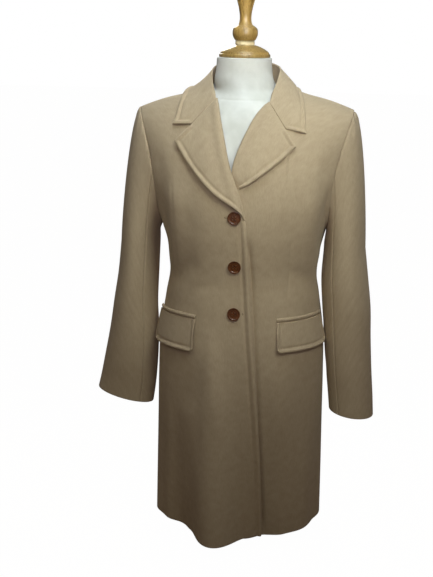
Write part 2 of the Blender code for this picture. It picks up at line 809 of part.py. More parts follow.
def jet_walls(side):
    """Outer and inner points of the narrow welt above a pocket flap."""
    turn = pocket_turns(side, JET_TOP, JET_COLUMNS)
    level = np.array([JET_TOP, JET_TOP - JET_HEIGHT / 2, JET_TOP - JET_HEIGHT])
    turns, levels = np.meshgrid(turn, level)
    levels = levels - pocket_drop(side, JET_COLUMNS)
    base = body_point(side, turns, levels)
    normals = body_normal(side, turns, levels)
    lift = lap_lift(side, base[..., 0], base[..., 2])[..., None]
    return base + normals * (lift + LAY_GAP + JET_WALL), base + normals * (lift + LAY_GAP)


def flap_walls(side):
    """Outer and inner points of a pocket flap with rounded lower corners, standing out a little below."""
    turn = pocket_turns(side, FLAP_TOP, FLAP_COLUMNS)
    down = np.linspace(0.0, 1.0, FLAP_ROWS)
    width = turn[-1] - turn[0]
    arc = along(BODY, "level", "half_width", FLAP_TOP)
    from_end = np.minimum(turn - turn[0], turn[-1] - turn) * arc
    corner = np.clip(1 - from_end / FLAP_CORNER, 0.0, 1.0)
    bottom = FLAP_BOTTOM[side] + FLAP_CORNER * (1 - np.sqrt(1 - corner ** 2))
    spread = np.linspace(-1.0, 1.0, len(turn)) * FLAP_SPREAD * width
    turns = turn[None, :] + spread[None, :] * down[:, None]
    levels = FLAP_TOP + (bottom[None, :] - FLAP_TOP) * down[:, None] - pocket_drop(side, FLAP_COLUMNS)
    base = body_point(side, turns, levels)
    normals = body_normal(side, turns, levels)
    lift = lap_lift(side, base[..., 0], base[..., 2]) + LAY_GAP + FLAP_STAND * down[:, None] ** 1.3
    return base + normals * (lift + FLAP_WALL)[..., None], base + normals * lift[..., None]


def seat(panel, spot, normal, radius):
    """Height of the highest point of a panel under a round piece."""
    share = np.linspace(0.0, 1.0, 9)
    cells = panel[:, :, None, None]
    u = share[:, None, None]
    v = share[None, :, None]
    low = cells[:-1, :-1] * (1 - v) + cells[:-1, 1:] * v
    high = cells[1:, :-1] * (1 - v) + cells[1:, 1:] * v
    points = (low * (1 - u) + high * u).reshape(-1, 3) - spot
    height = points @ normal
    beside = np.linalg.norm(points - height[:, None] * normal, axis=-1)
    return height[(beside < radius) & (np.abs(height) < radius)].max()


def button(name, x, z, panel, surface):
    """Four-hole button with a raised rim, laid on the right front."""
    turn, level = front_place(RIGHT, x, z)
    normal = body_normal(RIGHT, turn, level)
    base = body_point(RIGHT, turn, level)
    base = base + normal * (seat(panel, base, normal, BUTTON_R) + LAY_GAP)
    radii = BUTTON_PROFILE["radius"] * BUTTON_R
    heights = BUTTON_PROFILE["height"] * BUTTON_H
    angle = np.linspace(0.0, 2 * np.pi, BUTTON_SEGMENTS, endpoint=False)
    rings = np.stack([radii[:, None] * np.cos(angle), radii[:, None] * np.sin(angle),
                      np.broadcast_to(heights[:, None], (len(heights), BUTTON_SEGMENTS))], -1)
    made = rings_solid(name, rings, surface)
    frame = Vector(normal).to_track_quat("Z", "Y").to_matrix().to_4x4()
    place = Matrix.Translation(Vector(base)) @ frame
    cutter = bpy.data.meshes.new(f"{name}_holes")
    shape = bmesh.new()
    for sx in (-1, 1):
        for sy in (-1, 1):
            spot = Matrix.Translation((sx * BUTTON_HOLE_AT, sy * BUTTON_HOLE_AT, BUTTON_H / 2))
            bmesh.ops.create_cone(shape, cap_ends=True, segments=BUTTON_HOLE_SIDES, radius1=BUTTON_HOLE_R,
                                  radius2=BUTTON_HOLE_R, depth=BUTTON_H * 3, matrix=spot)
    shape.to_mesh(cutter)
    shape.free()
    cutter.transform(place)
    made.data.transform(place)
    tool = bpy.data.objects.new(f"{name}_holes", cutter)
    bpy.context.scene.collection.objects.link(tool)
    tool.hide_render = True
    tool.display_type = "WIRE"
    cut = made.modifiers.new("holes", "BOOLEAN")
    cut.operation = "DIFFERENCE"
    cut.solver = "EXACT"
    cut.object = tool
    return made


def form_rings():
    """Rings of the form's torso and neck, kept inside the coat's walls."""
    swing = np.linspace(0.0, 2 * np.pi, FORM_ROUND, endpoint=False)
    heights = np.concatenate([np.linspace(FORM_BOTTOM, 0.79, 11), np.array(FORM["z"][9:])])
    rings = []
    for z in heights:
        half_width = along(FORM, "z", "half_width", z)
        x = half_width * np.sin(swing)
        shift = COAT_SHIFT * (1 - ease((z - FORM_SHIFT_FROM) / FORM_SHIFT_OVER))
        rise = (z - UNDERARM) / (shoulder_height(x) - FORM_CLEAR - UNDERARM)
        rise = np.clip(rise, 0.0, 1.0)
        swell = np.sqrt(np.maximum(1 - np.sin(swing) ** 2, 0.0))
        front = along(FORM, "z", "front", z) * np.sqrt(1 - rise ** FRONT_ROLL) * swell
        back = along(FORM, "z", "back", z) * np.sqrt(1 - rise ** BACK_ROLL) * swell
        radius = along(FORM, "z", "neck", z)
        neck = np.sqrt(np.maximum(radius ** 2 - x ** 2, 0.0))
        neck_front = np.maximum(neck - FORM_NECK_BACK * (neck > 0), 0.0)
        neck_back = np.maximum(neck + FORM_NECK_BACK * (neck > 0), 0.0)
        front = (front ** NECK_BLEND + neck_front ** NECK_BLEND) ** (1 / NECK_BLEND)
        back = (back ** NECK_BLEND + neck_back ** NECK_BLEND) ** (1 / NECK_BLEND)
        y = np.where(np.cos(swing) >= 0, -front, back)
        rings.append(np.stack([x + shift, y, np.full(FORM_ROUND, z)], -1))
    return np.array(rings)


def build():
    """Build every piece of the coat and its form."""
    clear_scene()
    wool = material("camel_wool", (0.230, 0.180, 0.115), 0.95)
    horn = material("brown_horn", (0.060, 0.030, 0.016), 0.40)
    calico = material("white_form_cloth", (0.700, 0.700, 0.660), 0.90)
    honey = material("honey_wood", (0.430, 0.280, 0.080), 0.35)
    cream = material("cream_wood", (0.600, 0.500, 0.290), 0.45)

    for side, word in ((RIGHT, "right"), (LEFT, "left")):
        front, front_inner = panel_walls(side, *front_grid(side), True)
        back, back_inner = panel_walls(side, *back_grid(), False)
        wall(f"front_{word}", front, front_inner, wool)
        wall(f"back_{word}", back, back_inner, wool)
        ring, ring_inner = armhole_rings(side, front, front_inner, back, back_inner)
        grid = sleeve_grid(side, ring, SLEEVE_RIGHT if side == RIGHT else SLEEVE_LEFT)
        outer, inner = sleeve_walls(side, grid, ring_inner)
        if side == RIGHT:
            right_front = front
        half = FRONT_ROWS_HIGH - 1
        under = list(range(half - UNDER_SLEEVE_ROWS, half + UNDER_SLEEVE_ROWS + 1))
        top = list(range(half + UNDER_SLEEVE_ROWS, 2 * half)) + list(range(half - UNDER_SLEEVE_ROWS + 1))
        sleeve_part(f"top_sleeve_{word}", outer, inner, top, wool)
        sleeve_part(f"under_sleeve_{word}", outer, inner, under, wool)
        wall(f"lapel_{word}", *lapel_walls(side, LAPEL_RIGHT if side == RIGHT else LAPEL_LEFT), wool)
        wall(f"jet_{word}", *jet_walls(side), wool)
        wall(f"flap_{word}", *flap_walls(side), wool)
    wall("collar", *collar_walls(), wool)
    for number, (x, z) in enumerate(zip(BUTTON_X, BUTTON_Z), start=1):
        button(f"button_{number}", x, z, right_front, horn)
    rings_solid("form_torso", form_rings(), calico)
    turned("neck_cap", CAP_PROFILE, honey)
    turned("neck_ring", RING_PROFILE, cream)
    turned("finial", FINIAL_PROFILE, honey)
    turned("pole", POLE_PROFILE, honey)
    turned("base", BASE_PROFILE, honey)


build()
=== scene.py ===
"""Looks of a camel wool single-breasted coat on a limbless dress form.

Metres, +Z up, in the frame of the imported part: the coat faces -Y and the wearer's right is -X.
"""
import logging
import math
from collections.abc import Callable
from dataclasses import dataclass, field
from enum import Enum

import bpy
import numpy as np
from mathutils import Matrix, Vector


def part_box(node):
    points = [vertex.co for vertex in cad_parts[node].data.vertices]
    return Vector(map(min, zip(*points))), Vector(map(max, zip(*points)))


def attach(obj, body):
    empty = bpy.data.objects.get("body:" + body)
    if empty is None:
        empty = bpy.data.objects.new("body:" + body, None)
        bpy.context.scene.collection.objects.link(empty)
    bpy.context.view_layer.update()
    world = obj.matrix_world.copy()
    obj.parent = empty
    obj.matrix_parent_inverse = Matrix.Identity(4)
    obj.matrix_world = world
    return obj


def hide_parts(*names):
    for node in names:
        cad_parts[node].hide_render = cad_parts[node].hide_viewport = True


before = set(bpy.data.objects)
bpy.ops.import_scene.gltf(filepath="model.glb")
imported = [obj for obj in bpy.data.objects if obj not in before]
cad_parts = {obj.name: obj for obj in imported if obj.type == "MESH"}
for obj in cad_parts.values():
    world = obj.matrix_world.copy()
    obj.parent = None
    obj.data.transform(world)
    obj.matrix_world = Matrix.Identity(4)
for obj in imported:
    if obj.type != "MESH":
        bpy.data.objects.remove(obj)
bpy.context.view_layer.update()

BODY = "root"
CLOTH_UV = "cloth"
LOG = logging.getLogger("coat")

Array = np.ndarray
Table = dict[str, Array]
Hex = str
Object = bpy.types.Object
Material = bpy.types.Material
Tree = bpy.types.NodeTree
Node = bpy.types.Node
Socket = bpy.types.NodeSocket


class Side(Enum):
    """Wearer's side of a piece."""

    RIGHT = -1
    LEFT = 1

    @property
    def sign(self) -> int:
        """Direction of the side along X."""
        return self.value

    @property
    def word(self) -> str:
        """Side's name as used in piece names."""
        return self.name.lower()


class Face(Enum):
    """Front or back of the coat's body."""

    FRONT = -1
    BACK = 1


def table(names: str, *rows: tuple[float, ...]) -> Table:
    """Make a table of sizes.

    Args:
        names: Column names, with blanks between them.
        rows: One tuple of sizes for each section.

    Returns:
        Columns by name.
    """
    return dict(zip(names.split(), np.array(rows, float).T))


def glide(t: Array | float, start: Array, start_way: Array, end: Array, end_way: Array) -> Array:
    """Point at a share of a smooth curve between two points with given ways there."""
    first = (2 * t + 1) * (1 - t) ** 2 * start + t * (1 - t) ** 2 * start_way
    return first + t * t * (3 - 2 * t) * end + t * t * (t - 1) * end_way


def through(knots: Array, values: Array, at: Array) -> Array:
    """Read a smooth curve.

    Args:
        knots: Places along the curve, rising.
        values: Numbers or points at those places.
        at: Places to read.

    Returns:
        Numbers or points at the places read.
    """
    slopes = np.gradient(values, knots, axis=0)
    at = np.clip(np.asarray(at, float), knots[0], knots[-1])
    left = np.clip(np.searchsorted(knots, at, side="right") - 1, 0, len(knots) - 2)
    extra = at.shape + (1,) * (values.ndim - 1)
    step = (knots[left + 1] - knots[left]).reshape(extra)
    share = (at - knots[left]).reshape(extra) / step
    return glide(share, values[left], slopes[left] * step, values[left + 1], slopes[left + 1] * step)


def along(sizes: Table, key: str, column: str, at: Array) -> Array:
    """Smooth value of one column of a table at given places of its key column."""
    return through(sizes[key], sizes[column], at)


def ease(value: Array) -> Array:
    """Soft step from 0 to 1."""
    value = np.clip(value, 0.0, 1.0)
    return value * value * (3 - 2 * value)


def bell(distance: Array, width: float) -> Array:
    """Soft hump of height 1 that falls off over a width."""
    return np.exp(-(distance / width) ** 2)


def unit(vectors: Array) -> Array:
    """Vectors of length one."""
    return vectors / np.maximum(np.linalg.norm(vectors, axis=-1, keepdims=True), 1e-12)


def spaced(length: float, step: float, start: tuple[float, ...], finish: tuple[float, ...]) -> Array:
    """Space points along a length.

    Args:
        length: Whole length in metres.
        step: Spacing in the middle.
        start: Distances of the first points from the start.
        finish: Distances of the last points from the end.

    Returns:
        Shares of the length from 0 to 1.
    """
    middle = np.arange(start[-1] + step, length - finish[-1] - step / 2, step)
    return np.concatenate([start, middle, length - np.array(finish)[::-1]]) / length


def square_to(grid: Array) -> Array:
    """Directions square to a grid of points."""
    return unit(np.cross(np.gradient(grid, axis=0), np.gradient(grid, axis=1)))


def run_lengths(grid: Array, axis: int) -> Array:
    """Length walked along one axis of a grid from its first points.

    Args:
        grid: Points, rows by columns.
        axis: Axis to walk along.

    Returns:
        Lengths, one for each point.
    """
    steps = np.linalg.norm(np.diff(grid, axis=axis), axis=-1)
    start = np.zeros_like(np.take(steps, [0], axis=axis))
    return np.concatenate([start, np.cumsum(steps, axis=axis)], axis=axis)


@dataclass(frozen=True)
class Crease:
    """Soft trough or ridge in the cloth through three places on a panel."""

    start: tuple[float, float]
    middle: tuple[float, float]
    end: tuple[float, float]
    depth: float
    width: float
    fade: float = 0.35

    def out(self, across: Array, up: Array) -> Array:
        """Find how far the crease stands out.

        Args:
            across: Places across the panel.
            up: Places up the panel.

        Returns:
            Height over the plain panel, negative in a trough.
        """
        first, last = np.array(self.start), np.array(self.end)
        bend = 2 * np.array(self.middle) - (first + last) / 2
        t = np.linspace(0.0, 1.0, 15)[:, None]
        line = (1 - t) ** 2 * first + 2 * t * (1 - t) * bend + t * t * last
        spot = np.stack([across, up], -1)
        best = np.full(across.shape, np.inf)
        share = np.zeros(across.shape)
        for i, (a, b) in enumerate(zip(line[:-1], line[1:])):
            way = b - a
            place = np.clip(((spot - a) @ way) / (way @ way), 0.0, 1.0)
            gap = np.linalg.norm(spot - a - place[..., None] * way, axis=-1)
            nearer = gap < best
            best = np.where(nearer, gap, best)
            share = np.where(nearer, (i + place) / (len(line) - 1), share)
        ends = ease(share / self.fade) * ease((1 - share) / self.fade)
        return self.depth * bell(best, self.width) * ends


def creases(*rows: tuple[float, ...]) -> tuple[Crease, ...]:
    """Make creases from a table in millimetres.

    Args:
        rows: Across and up of the start, of the middle and of the end, then depth, width and, if it isn't
            the usual one, the share over which the ends fade.

    Returns:
        One crease for each row.
    """
    made = []
    for row in rows:
        spots = [(row[i] / 1000, row[i + 1] / 1000) for i in (0, 2, 4)]
        made.append(Crease(*spots, row[6] / 1000, row[7] / 1000, *row[8:]))
    return tuple(made)


@dataclass(frozen=True)
class Rim:
    """Plump free edge set off by a groove, as a hidden row of stitches pulls it in."""

    plump: float
    plump_at: float
    plump_width: float
    groove: float
    groove_at: float
    groove_width: float

    def out(self, distance: Array) -> Array:
        """Height over the plain cloth at distances from the free edge."""
        plump = self.plump * bell(distance - self.plump_at, self.plump_width)
        return plump - self.groove * bell(distance - self.groove_at, self.groove_width)


COLLAR_RIM = Rim(0.0018, 0.0042, 0.0036, 0.0010, 0.0098, 0.0030)
FRONT_RIM = Rim(0.0026, 0.0046, 0.0042, 0.0018, 0.0125, 0.0032)
FLAP_RIM = Rim(0.0018, 0.0040, 0.0034, 0.0010, 0.0094, 0.0028)
EDGE_ROUND = 0.55
EDGE_LEAST = 0.15
EDGE_START = (0.0, 0.0004, 0.0010, 0.0018)
RIM_START = EDGE_START + tuple(np.arange(0.0030, 0.0181, 0.0012))


def to_linear(colour: Hex) -> tuple[float, float, float, float]:
    """Turn an sRGB hex colour into linear red, green, blue and alpha."""
    parts = [int(colour[i:i + 2], 16) / 255 for i in (1, 3, 5)]
    return (*(p / 12.92 if p <= 0.04045 else ((p + 0.055) / 1.055) ** 2.4 for p in parts), 1.0)


def add(tree: Tree, kind: str, settings: dict | None = None,
        links: dict | None = None) -> Node:
    """Add one node.

    Args:
        tree: Node tree to add to.
        kind: Node type without its ShaderNode prefix.
        settings: Values of the node's properties and input sockets.
        links: Sockets to link to the node's inputs.

    Returns:
        The new node.
    """
    made = tree.nodes.new(f"ShaderNode{kind}")
    for name, value in (settings or {}).items():
        if isinstance(name, str) and hasattr(made, name):
            setattr(made, name, value)
        else:
            made.inputs[name].default_value = value
    for name, socket in (links or {}).items():
        tree.links.new(socket, made.inputs[name])
    return made


def blank(name: str) -> tuple[Material, Tree, Node]:
    """Material with only its Principled shader.

    Args:
        name: Piece name.

    Returns:
        The material, its nodes and its shader.
    """
    made = bpy.data.materials.new(name)
    made.use_nodes = True
    return made, made.node_tree, made.node_tree.nodes["Principled BSDF"]


def noise(tree: Tree, place: Socket, mm: float, settings: dict) -> Socket:
    """Clouded pattern of a size in millimetres."""
    return add(tree, "TexNoise", {"Scale": 1000 / mm, **settings}, {"Vector": place}).outputs["Fac"]


def bands(tree: Tree, place: Socket, mm: float, way: str, settings: dict) -> Socket:
    """Banded pattern of a spacing in millimetres."""
    settings = {"bands_direction": way, "Scale": 1000 / mm / 20, **settings}
    return add(tree, "TexWave", settings, {"Vector": place}).outputs["Fac"]


def lay(tree: Tree, place: Socket, scale: tuple[float, ...], turn: tuple[float, ...]) -> Socket:
    """Coordinates stretched and turned."""
    return add(tree, "Mapping", {"Scale": scale, "Rotation": turn}, {"Vector": place}).outputs["Vector"]


def weigh(tree: Tree, pattern: Socket, weight: float, rest: Socket) -> Socket:
    """A pattern times its weight, added to another pattern."""
    return add(tree, "Math", {"operation": "MULTIPLY_ADD", 1: weight}, {0: pattern, 2: rest}).outputs["Value"]


def blend(tree: Tree, pattern: Socket, ends: tuple[float, float],
          dark: Hex, light: Hex) -> Socket:
    """Colour between two others, by where a pattern lies between two values.

    Args:
        tree: The material's nodes.
        pattern: Pattern to read.
        ends: Its values at the two colours.
        dark: First colour.
        light: Second colour.

    Returns:
        Socket of the colour.
    """
    tone = add(tree, "MapRange", {"From Min": ends[0], "From Max": ends[1]}, {"Value": pattern})
    mix = add(tree, "Mix", {"data_type": "RGBA", 6: to_linear(dark), 7: to_linear(light)},
              {0: tone.outputs["Result"]})
    return mix.outputs[2]


def finish(tree: Tree, shader: Node, colour: Socket, height: Socket,
           relief: tuple[float, float], values: dict) -> None:
    """Complete a finish.

    Args:
        tree: The material's nodes.
        shader: Its Principled shader.
        colour: Base colour.
        height: Pattern of the relief.
        relief: Strength and depth in metres of the relief.
        values: Constant values of the shader's sockets.
    """
    bump = add(tree, "Bump", {"Strength": relief[0], "Distance": relief[1]}, {"Height": height})
    tree.links.new(colour, shader.inputs["Base Color"])
    tree.links.new(bump.outputs["Normal"], shader.inputs["Normal"])
    for name, value in values.items():
        shader.inputs[name].default_value = value


@dataclass(frozen=True)
class MilledWool:
    """Camel wool coating, woven in twill, milled and raised.

    The felted face hides the weave, scatters light softly and carries a pale nap that lightens
    what is seen at a slant.
    """

    name: str = "milled_camel_wool"
    shade: Hex = "#ad987a"
    light: Hex = "#c0ac8d"
    nap_light: Hex = "#efe6d2"
    fibre_mm: float = 1.6
    mottle_mm: float = 14.0
    nap_mm: tuple[float, float] = (1.4, 9.0)
    nap_turn: float = 0.06
    twill_mm: float = 2.6
    relief: tuple[float, float] = (0.55, 0.0005)

    def make(self) -> Material:
        """Build the material.

        Returns:
            The finished material.
        """
        made, tree, shader = blank(self.name)
        place = add(tree, "UVMap", {"uv_map": CLOTH_UV}).outputs["UV"]
        fibre = noise(tree, place, self.fibre_mm, {"Detail": 4.0, "Roughness": 0.65})
        mottle = noise(tree, place, self.mottle_mm, {"Detail": 3.0})
        stretch = (1000 / self.nap_mm[0], 1000 / self.nap_mm[1], 1.0)
        combed = lay(tree, place, stretch, (0.0, 0.0, self.nap_turn))
        nap = add(tree, "TexNoise", {"Scale": 1.0, "Detail": 3.0, "Distortion": 0.6}, {"Vector": combed})
        # The twill is drawn at several times its real spacing so that a trace of it shows.
        twill = bands(tree, place, self.twill_mm, "DIAGONAL",
                      {"Distortion": 2.5, "Detail": 2.0, "Detail Scale": 3.0})
        face = weigh(tree, fibre, 0.45, nap.outputs["Fac"])
        colour = blend(tree, weigh(tree, mottle, 0.8, face), (0.70, 1.55), self.shade, self.light)
        finish(tree, shader, colour, weigh(tree, twill, 0.25, face), self.relief, {
            "Roughness": 0.95, "Specular IOR Level": 0.12, "Sheen Weight": 0.22, "Sheen Roughness": 0.55,
            "Sheen Tint": to_linear(self.nap_light)})
        return made


@dataclass(frozen=True)
class PolishedHorn:
    """Brown horn, turned and polished: clouded streaks under a clear gloss."""

    name: str = "polished_brown_horn"
    dark: Hex = "#43220f"
    light: Hex = "#7d4a24"
    streak_mm: float = 5.0
    relief: tuple[float, float] = (0.15, 0.0002)

    def make(self) -> Material:
        """Build the material.

        Returns:
            The finished material.
        """
        made, tree, shader = blank(self.name)
        place = lay(tree, add(tree, "TexCoord").outputs["Object"], (1.0, 1.0, 2.2), (0.3, 0.0, 0.5))
        cloud = noise(tree, place, self.streak_mm, {"Detail": 4.0, "Distortion": 1.2})
        colour = blend(tree, cloud, (0.35, 0.68), self.dark, self.light)
        finish(tree, shader, colour, cloud, self.relief,
               {"Roughness": 0.36, "Coat Weight": 0.2, "Coat Roughness": 0.25})
        return made


@dataclass(frozen=True)
class SpunThread:
    """Brown silk twist, spun: fine slanting plies with a low shine."""

    name: str = "brown_silk_twist"
    dark: Hex = "#5d4a30"
    light: Hex = "#8d7650"
    ply_mm: float = 0.8
    relief: tuple[float, float] = (0.5, 0.0002)

    def make(self) -> Material:
        """Build the material.

        Returns:
            The finished material.
        """
        made, tree, shader = blank(self.name)
        place = add(tree, "TexCoord").outputs["Object"]
        ply = bands(tree, place, self.ply_mm, "DIAGONAL", {"Distortion": 1.0})
        colour = blend(tree, ply, (0.0, 1.0), self.dark, self.light)
        finish(tree, shader, colour, ply, self.relief, {"Roughness": 0.6})
        return made


@dataclass(frozen=True)
class KnitJersey:
    """White cotton jersey, knitted and pulled tight over the form: fine ribs and faint grey soiling."""

    name: str = "white_cotton_jersey"
    shade: Hex = "#d2d1c6"
    light: Hex = "#e4e3da"
    rib_mm: float = 1.8
    stain_mm: float = 45.0
    pill_mm: float = 1000 / 900
    relief: tuple[float, float] = (0.25, 0.0004)

    def make(self) -> Material:
        """Build the material.

        Returns:
            The finished material.
        """
        made, tree, shader = blank(self.name)
        place = add(tree, "TexCoord").outputs["Object"]
        stain = noise(tree, place, self.stain_mm, {"Detail": 4.0})
        # The ribs are drawn coarser than the real knit so that a trace of them shows.
        rib = bands(tree, place, self.rib_mm, "X", {"Distortion": 0.8, "Detail": 2.0})
        pill = noise(tree, place, self.pill_mm, {"Detail": 2.0})
        colour = blend(tree, stain, (0.36, 0.66), self.shade, self.light)
        finish(tree, shader, colour, weigh(tree, rib, 0.6, pill), self.relief,
               {"Roughness": 0.9, "Specular IOR Level": 0.2, "Sheen Weight": 0.1})
        return made


@dataclass(frozen=True)
class TurnedWood:
    """Hardwood turned on a lathe and varnished: long grain streaks, faint tool rings and a satin coat."""

    name: str
    dark: Hex
    light: Hex
    grain_mm: float = 3.0
    pore_mm: float = 1.2
    ring_mm: float = 50 / 22
    streak: float = 14.0
    coat: float = 0.35
    roughness: float = 0.38
    relief: tuple[float, float] = (0.12, 0.0004)

    def make(self) -> Material:
        """Build the material.

        Returns:
            The finished material.
        """
        made, tree, shader = blank(self.name)
        place = add(tree, "TexCoord").outputs["Object"]
        drawn = lay(tree, place, (1.0, 1.0, 1 / self.streak), (0.0, 0.0, 0.0))
        grain = noise(tree, drawn, self.grain_mm, {"Detail": 5.0, "Distortion": 0.8})
        pores = noise(tree, drawn, self.pore_mm, {"Detail": 2.0})
        rings = bands(tree, place, self.ring_mm, "Z", {"Distortion": 0.4})
        figure = weigh(tree, pores, 0.35, grain)
        colour = blend(tree, figure, (0.48, 0.85), self.dark, self.light)
        finish(tree, shader, colour, weigh(tree, rings, 0.2, figure), self.relief,
               {"Roughness": self.roughness, "Coat Weight": self.coat, "Coat Roughness": 0.2})
        return made


def mesh_object(name: str, points: Array, quads: Array, uv: Array | None = None) -> Object:
    """Make a smooth mesh object that faces outwards.

    Args:
        name: Piece name.
        points: Corner points, one row each.
        quads: Four corner numbers for each face.
        uv: Flat place of each corner point on the cloth, in metres.

    Returns:
        The linked object.
    """
    corners = points[quads]
    halves = np.cross(corners[:, 1], corners[:, 2]) + np.cross(corners[:, 2], corners[:, 3])
    if (corners[:, 0] * halves).sum() < 0:
        quads = quads[:, ::-1]
    mesh = bpy.data.meshes.new(name)
    mesh.vertices.add(len(points))
    mesh.vertices.foreach_set("co", points.astype(np.float32).ravel())
    mesh.loops.add(quads.size)
    mesh.loops.foreach_set("vertex_index", quads.astype(np.int32).ravel())
    mesh.polygons.add(len(quads))
    mesh.polygons.foreach_set("loop_start", np.arange(0, quads.size, 4, dtype=np.int32))
    mesh.update(calc_edges=True)
    mesh.shade_smooth()
    if uv is not None:
        layer = mesh.uv_layers.new(name=CLOTH_UV)
        layer.data.foreach_set("uv", uv[quads.ravel()].astype(np.float32).ravel())
    made = bpy.data.objects.new(name, mesh)
    bpy.context.scene.collection.objects.link(made)
    return made


def grid_quads(rows: int, columns: int, first: int = 0) -> Array:
    """Faces of a grid of points numbered row by row."""
    a = (np.arange(rows - 1)[:, None] * columns + np.arange(columns - 1)).ravel() + first
    return np.stack([a, a + 1, a + columns + 1, a + columns], -1)


@dataclass(frozen=True)
class Cut:
    """Flat size of a cloth piece, measured along its threads."""

    width: float
    length: float
    area: float


def measure(grid: Array, first_row: int = 0) -> Cut:
    """Find the flat size of the cloth that a grid of points shows.

    Args:
        grid: Points of the showing side, rows by columns.
        first_row: First row that runs straight across the cut.

    Returns:
        Width, length and area of the cut.
    """
    across = grid[1:, 1:] - grid[:-1, :-1]
    other = grid[1:, :-1] - grid[:-1, 1:]
    area = np.linalg.norm(np.cross(across, other), axis=-1).sum() / 2
    width = run_lengths(grid, 1)[first_row:, -1].max()
    length = run_lengths(grid, 0)[-1].max()
    return Cut(round(float(width), 3), round(float(length), 3), float(area))


def shell(name: str, outer: Array, wall: Array | float, inner_way: Array | None = None,
          sewn: Array | bool = False) -> Object:
    """Make a cloth wall with rounded edges under a grid of points.

    Args:
        name: Piece name.
        outer: Points of the showing side, rows by columns.
        wall: Cloth thickness, one number or one for each point.
        inner_way: Direction of the wall's inside, where it isn't square to the showing side.
        sewn: True at points beside a sewn edge, which isn't rounded.

    Returns:
        The closed shell, with its flat cloth coordinates.
    """
    rows, columns = outer.shape[:2]
    if inner_way is None:
        inner_way = -square_to(outer)
    across = run_lengths(outer, 1)
    up = run_lengths(outer, 0)
    to_edge = np.minimum(np.minimum(across, across[:, -1:] - across), np.minimum(up, up[-1:] - up))
    bend = np.where(sewn, 0.0, np.clip(1 - to_edge / (EDGE_ROUND * np.asarray(wall)), 0.0, 1.0))
    thick = wall * np.maximum(np.sqrt(1 - bend ** 2), EDGE_LEAST)
    top = outer + inner_way * ((wall - thick) / 2)[..., None]
    under = outer + inner_way * ((wall + thick) / 2)[..., None]
    count = rows * columns
    front = grid_quads(rows, columns)
    back = grid_quads(rows, columns, count)[:, ::-1]
    number = np.arange(count).reshape(rows, columns)
    edge = np.concatenate([number[0, :-1], number[:-1, -1], number[-1, :0:-1], number[:0:-1, 0]])
    onward = np.roll(edge, -1)
    sides = np.stack([edge, edge + count, onward + count, onward], -1)
    flat = np.stack([across, up], -1).reshape(-1, 2)
    points = np.concatenate([top.reshape(-1, 3), under.reshape(-1, 3)])
    return mesh_object(name, points, np.concatenate([front, back, sides]), np.concatenate([flat, flat]))


def dress(piece: Object, surface: Material, slot: str, *nodes: str) -> Object:
    """Give a piece its finish and its place in the part.

    Args:
        piece: Object to dress.
        surface: Its material.
        slot: Not used.
        nodes: Solids that the piece stands for.

    Returns:
        The same object.
    """
    piece.data.materials.clear()
    piece.data.materials.append(surface)
    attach(piece, BODY)
    if nodes:
        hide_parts(*nodes)
    LOG.info("%s: %d faces", piece.name, len(piece.data.polygons))
    return piece


def lay_cloth(piece: Object, cut: Cut) -> None:
    """Log the size of a cloth piece's cut."""
    LOG.info("%s cut: %.3f by %.3f m, %.4f m2", piece.name, cut.width, cut.length, cut.area)


def wall_way(grid: Array, row: int, column: int, face: Face) -> Array:
    """Ways to the inside of a wall whose showing side faces front or back at one of its points."""
    way = square_to(grid)
    return -way if way[row, column, 1] * face.value > 0 else way


def sew(name: str, grid: Array, wall: Array | float, wool: Material,
        inner_way: Array | None = None, sewn: Array | bool = False, first_row: int = 0) -> None:
    """Make and dress one cloth piece, and log the size of its cut.

    Args:
        name: Solid that the piece stands for.
        grid: Points of the showing side, rows by columns.
        wall: Cloth thickness, one number or one for each point.
        wool: Its material.
        inner_way: Direction of the wall's inside, where it isn't square to the showing side.
        sewn: True at points beside a sewn edge, which isn't rounded.
        first_row: First row that runs straight across the cut.
    """
    piece = dress(shell(f"wool_{name}", grid, wall, inner_way, sewn), wool, "coat_wool", name)
    lay_cloth(piece, measure(grid, first_row))


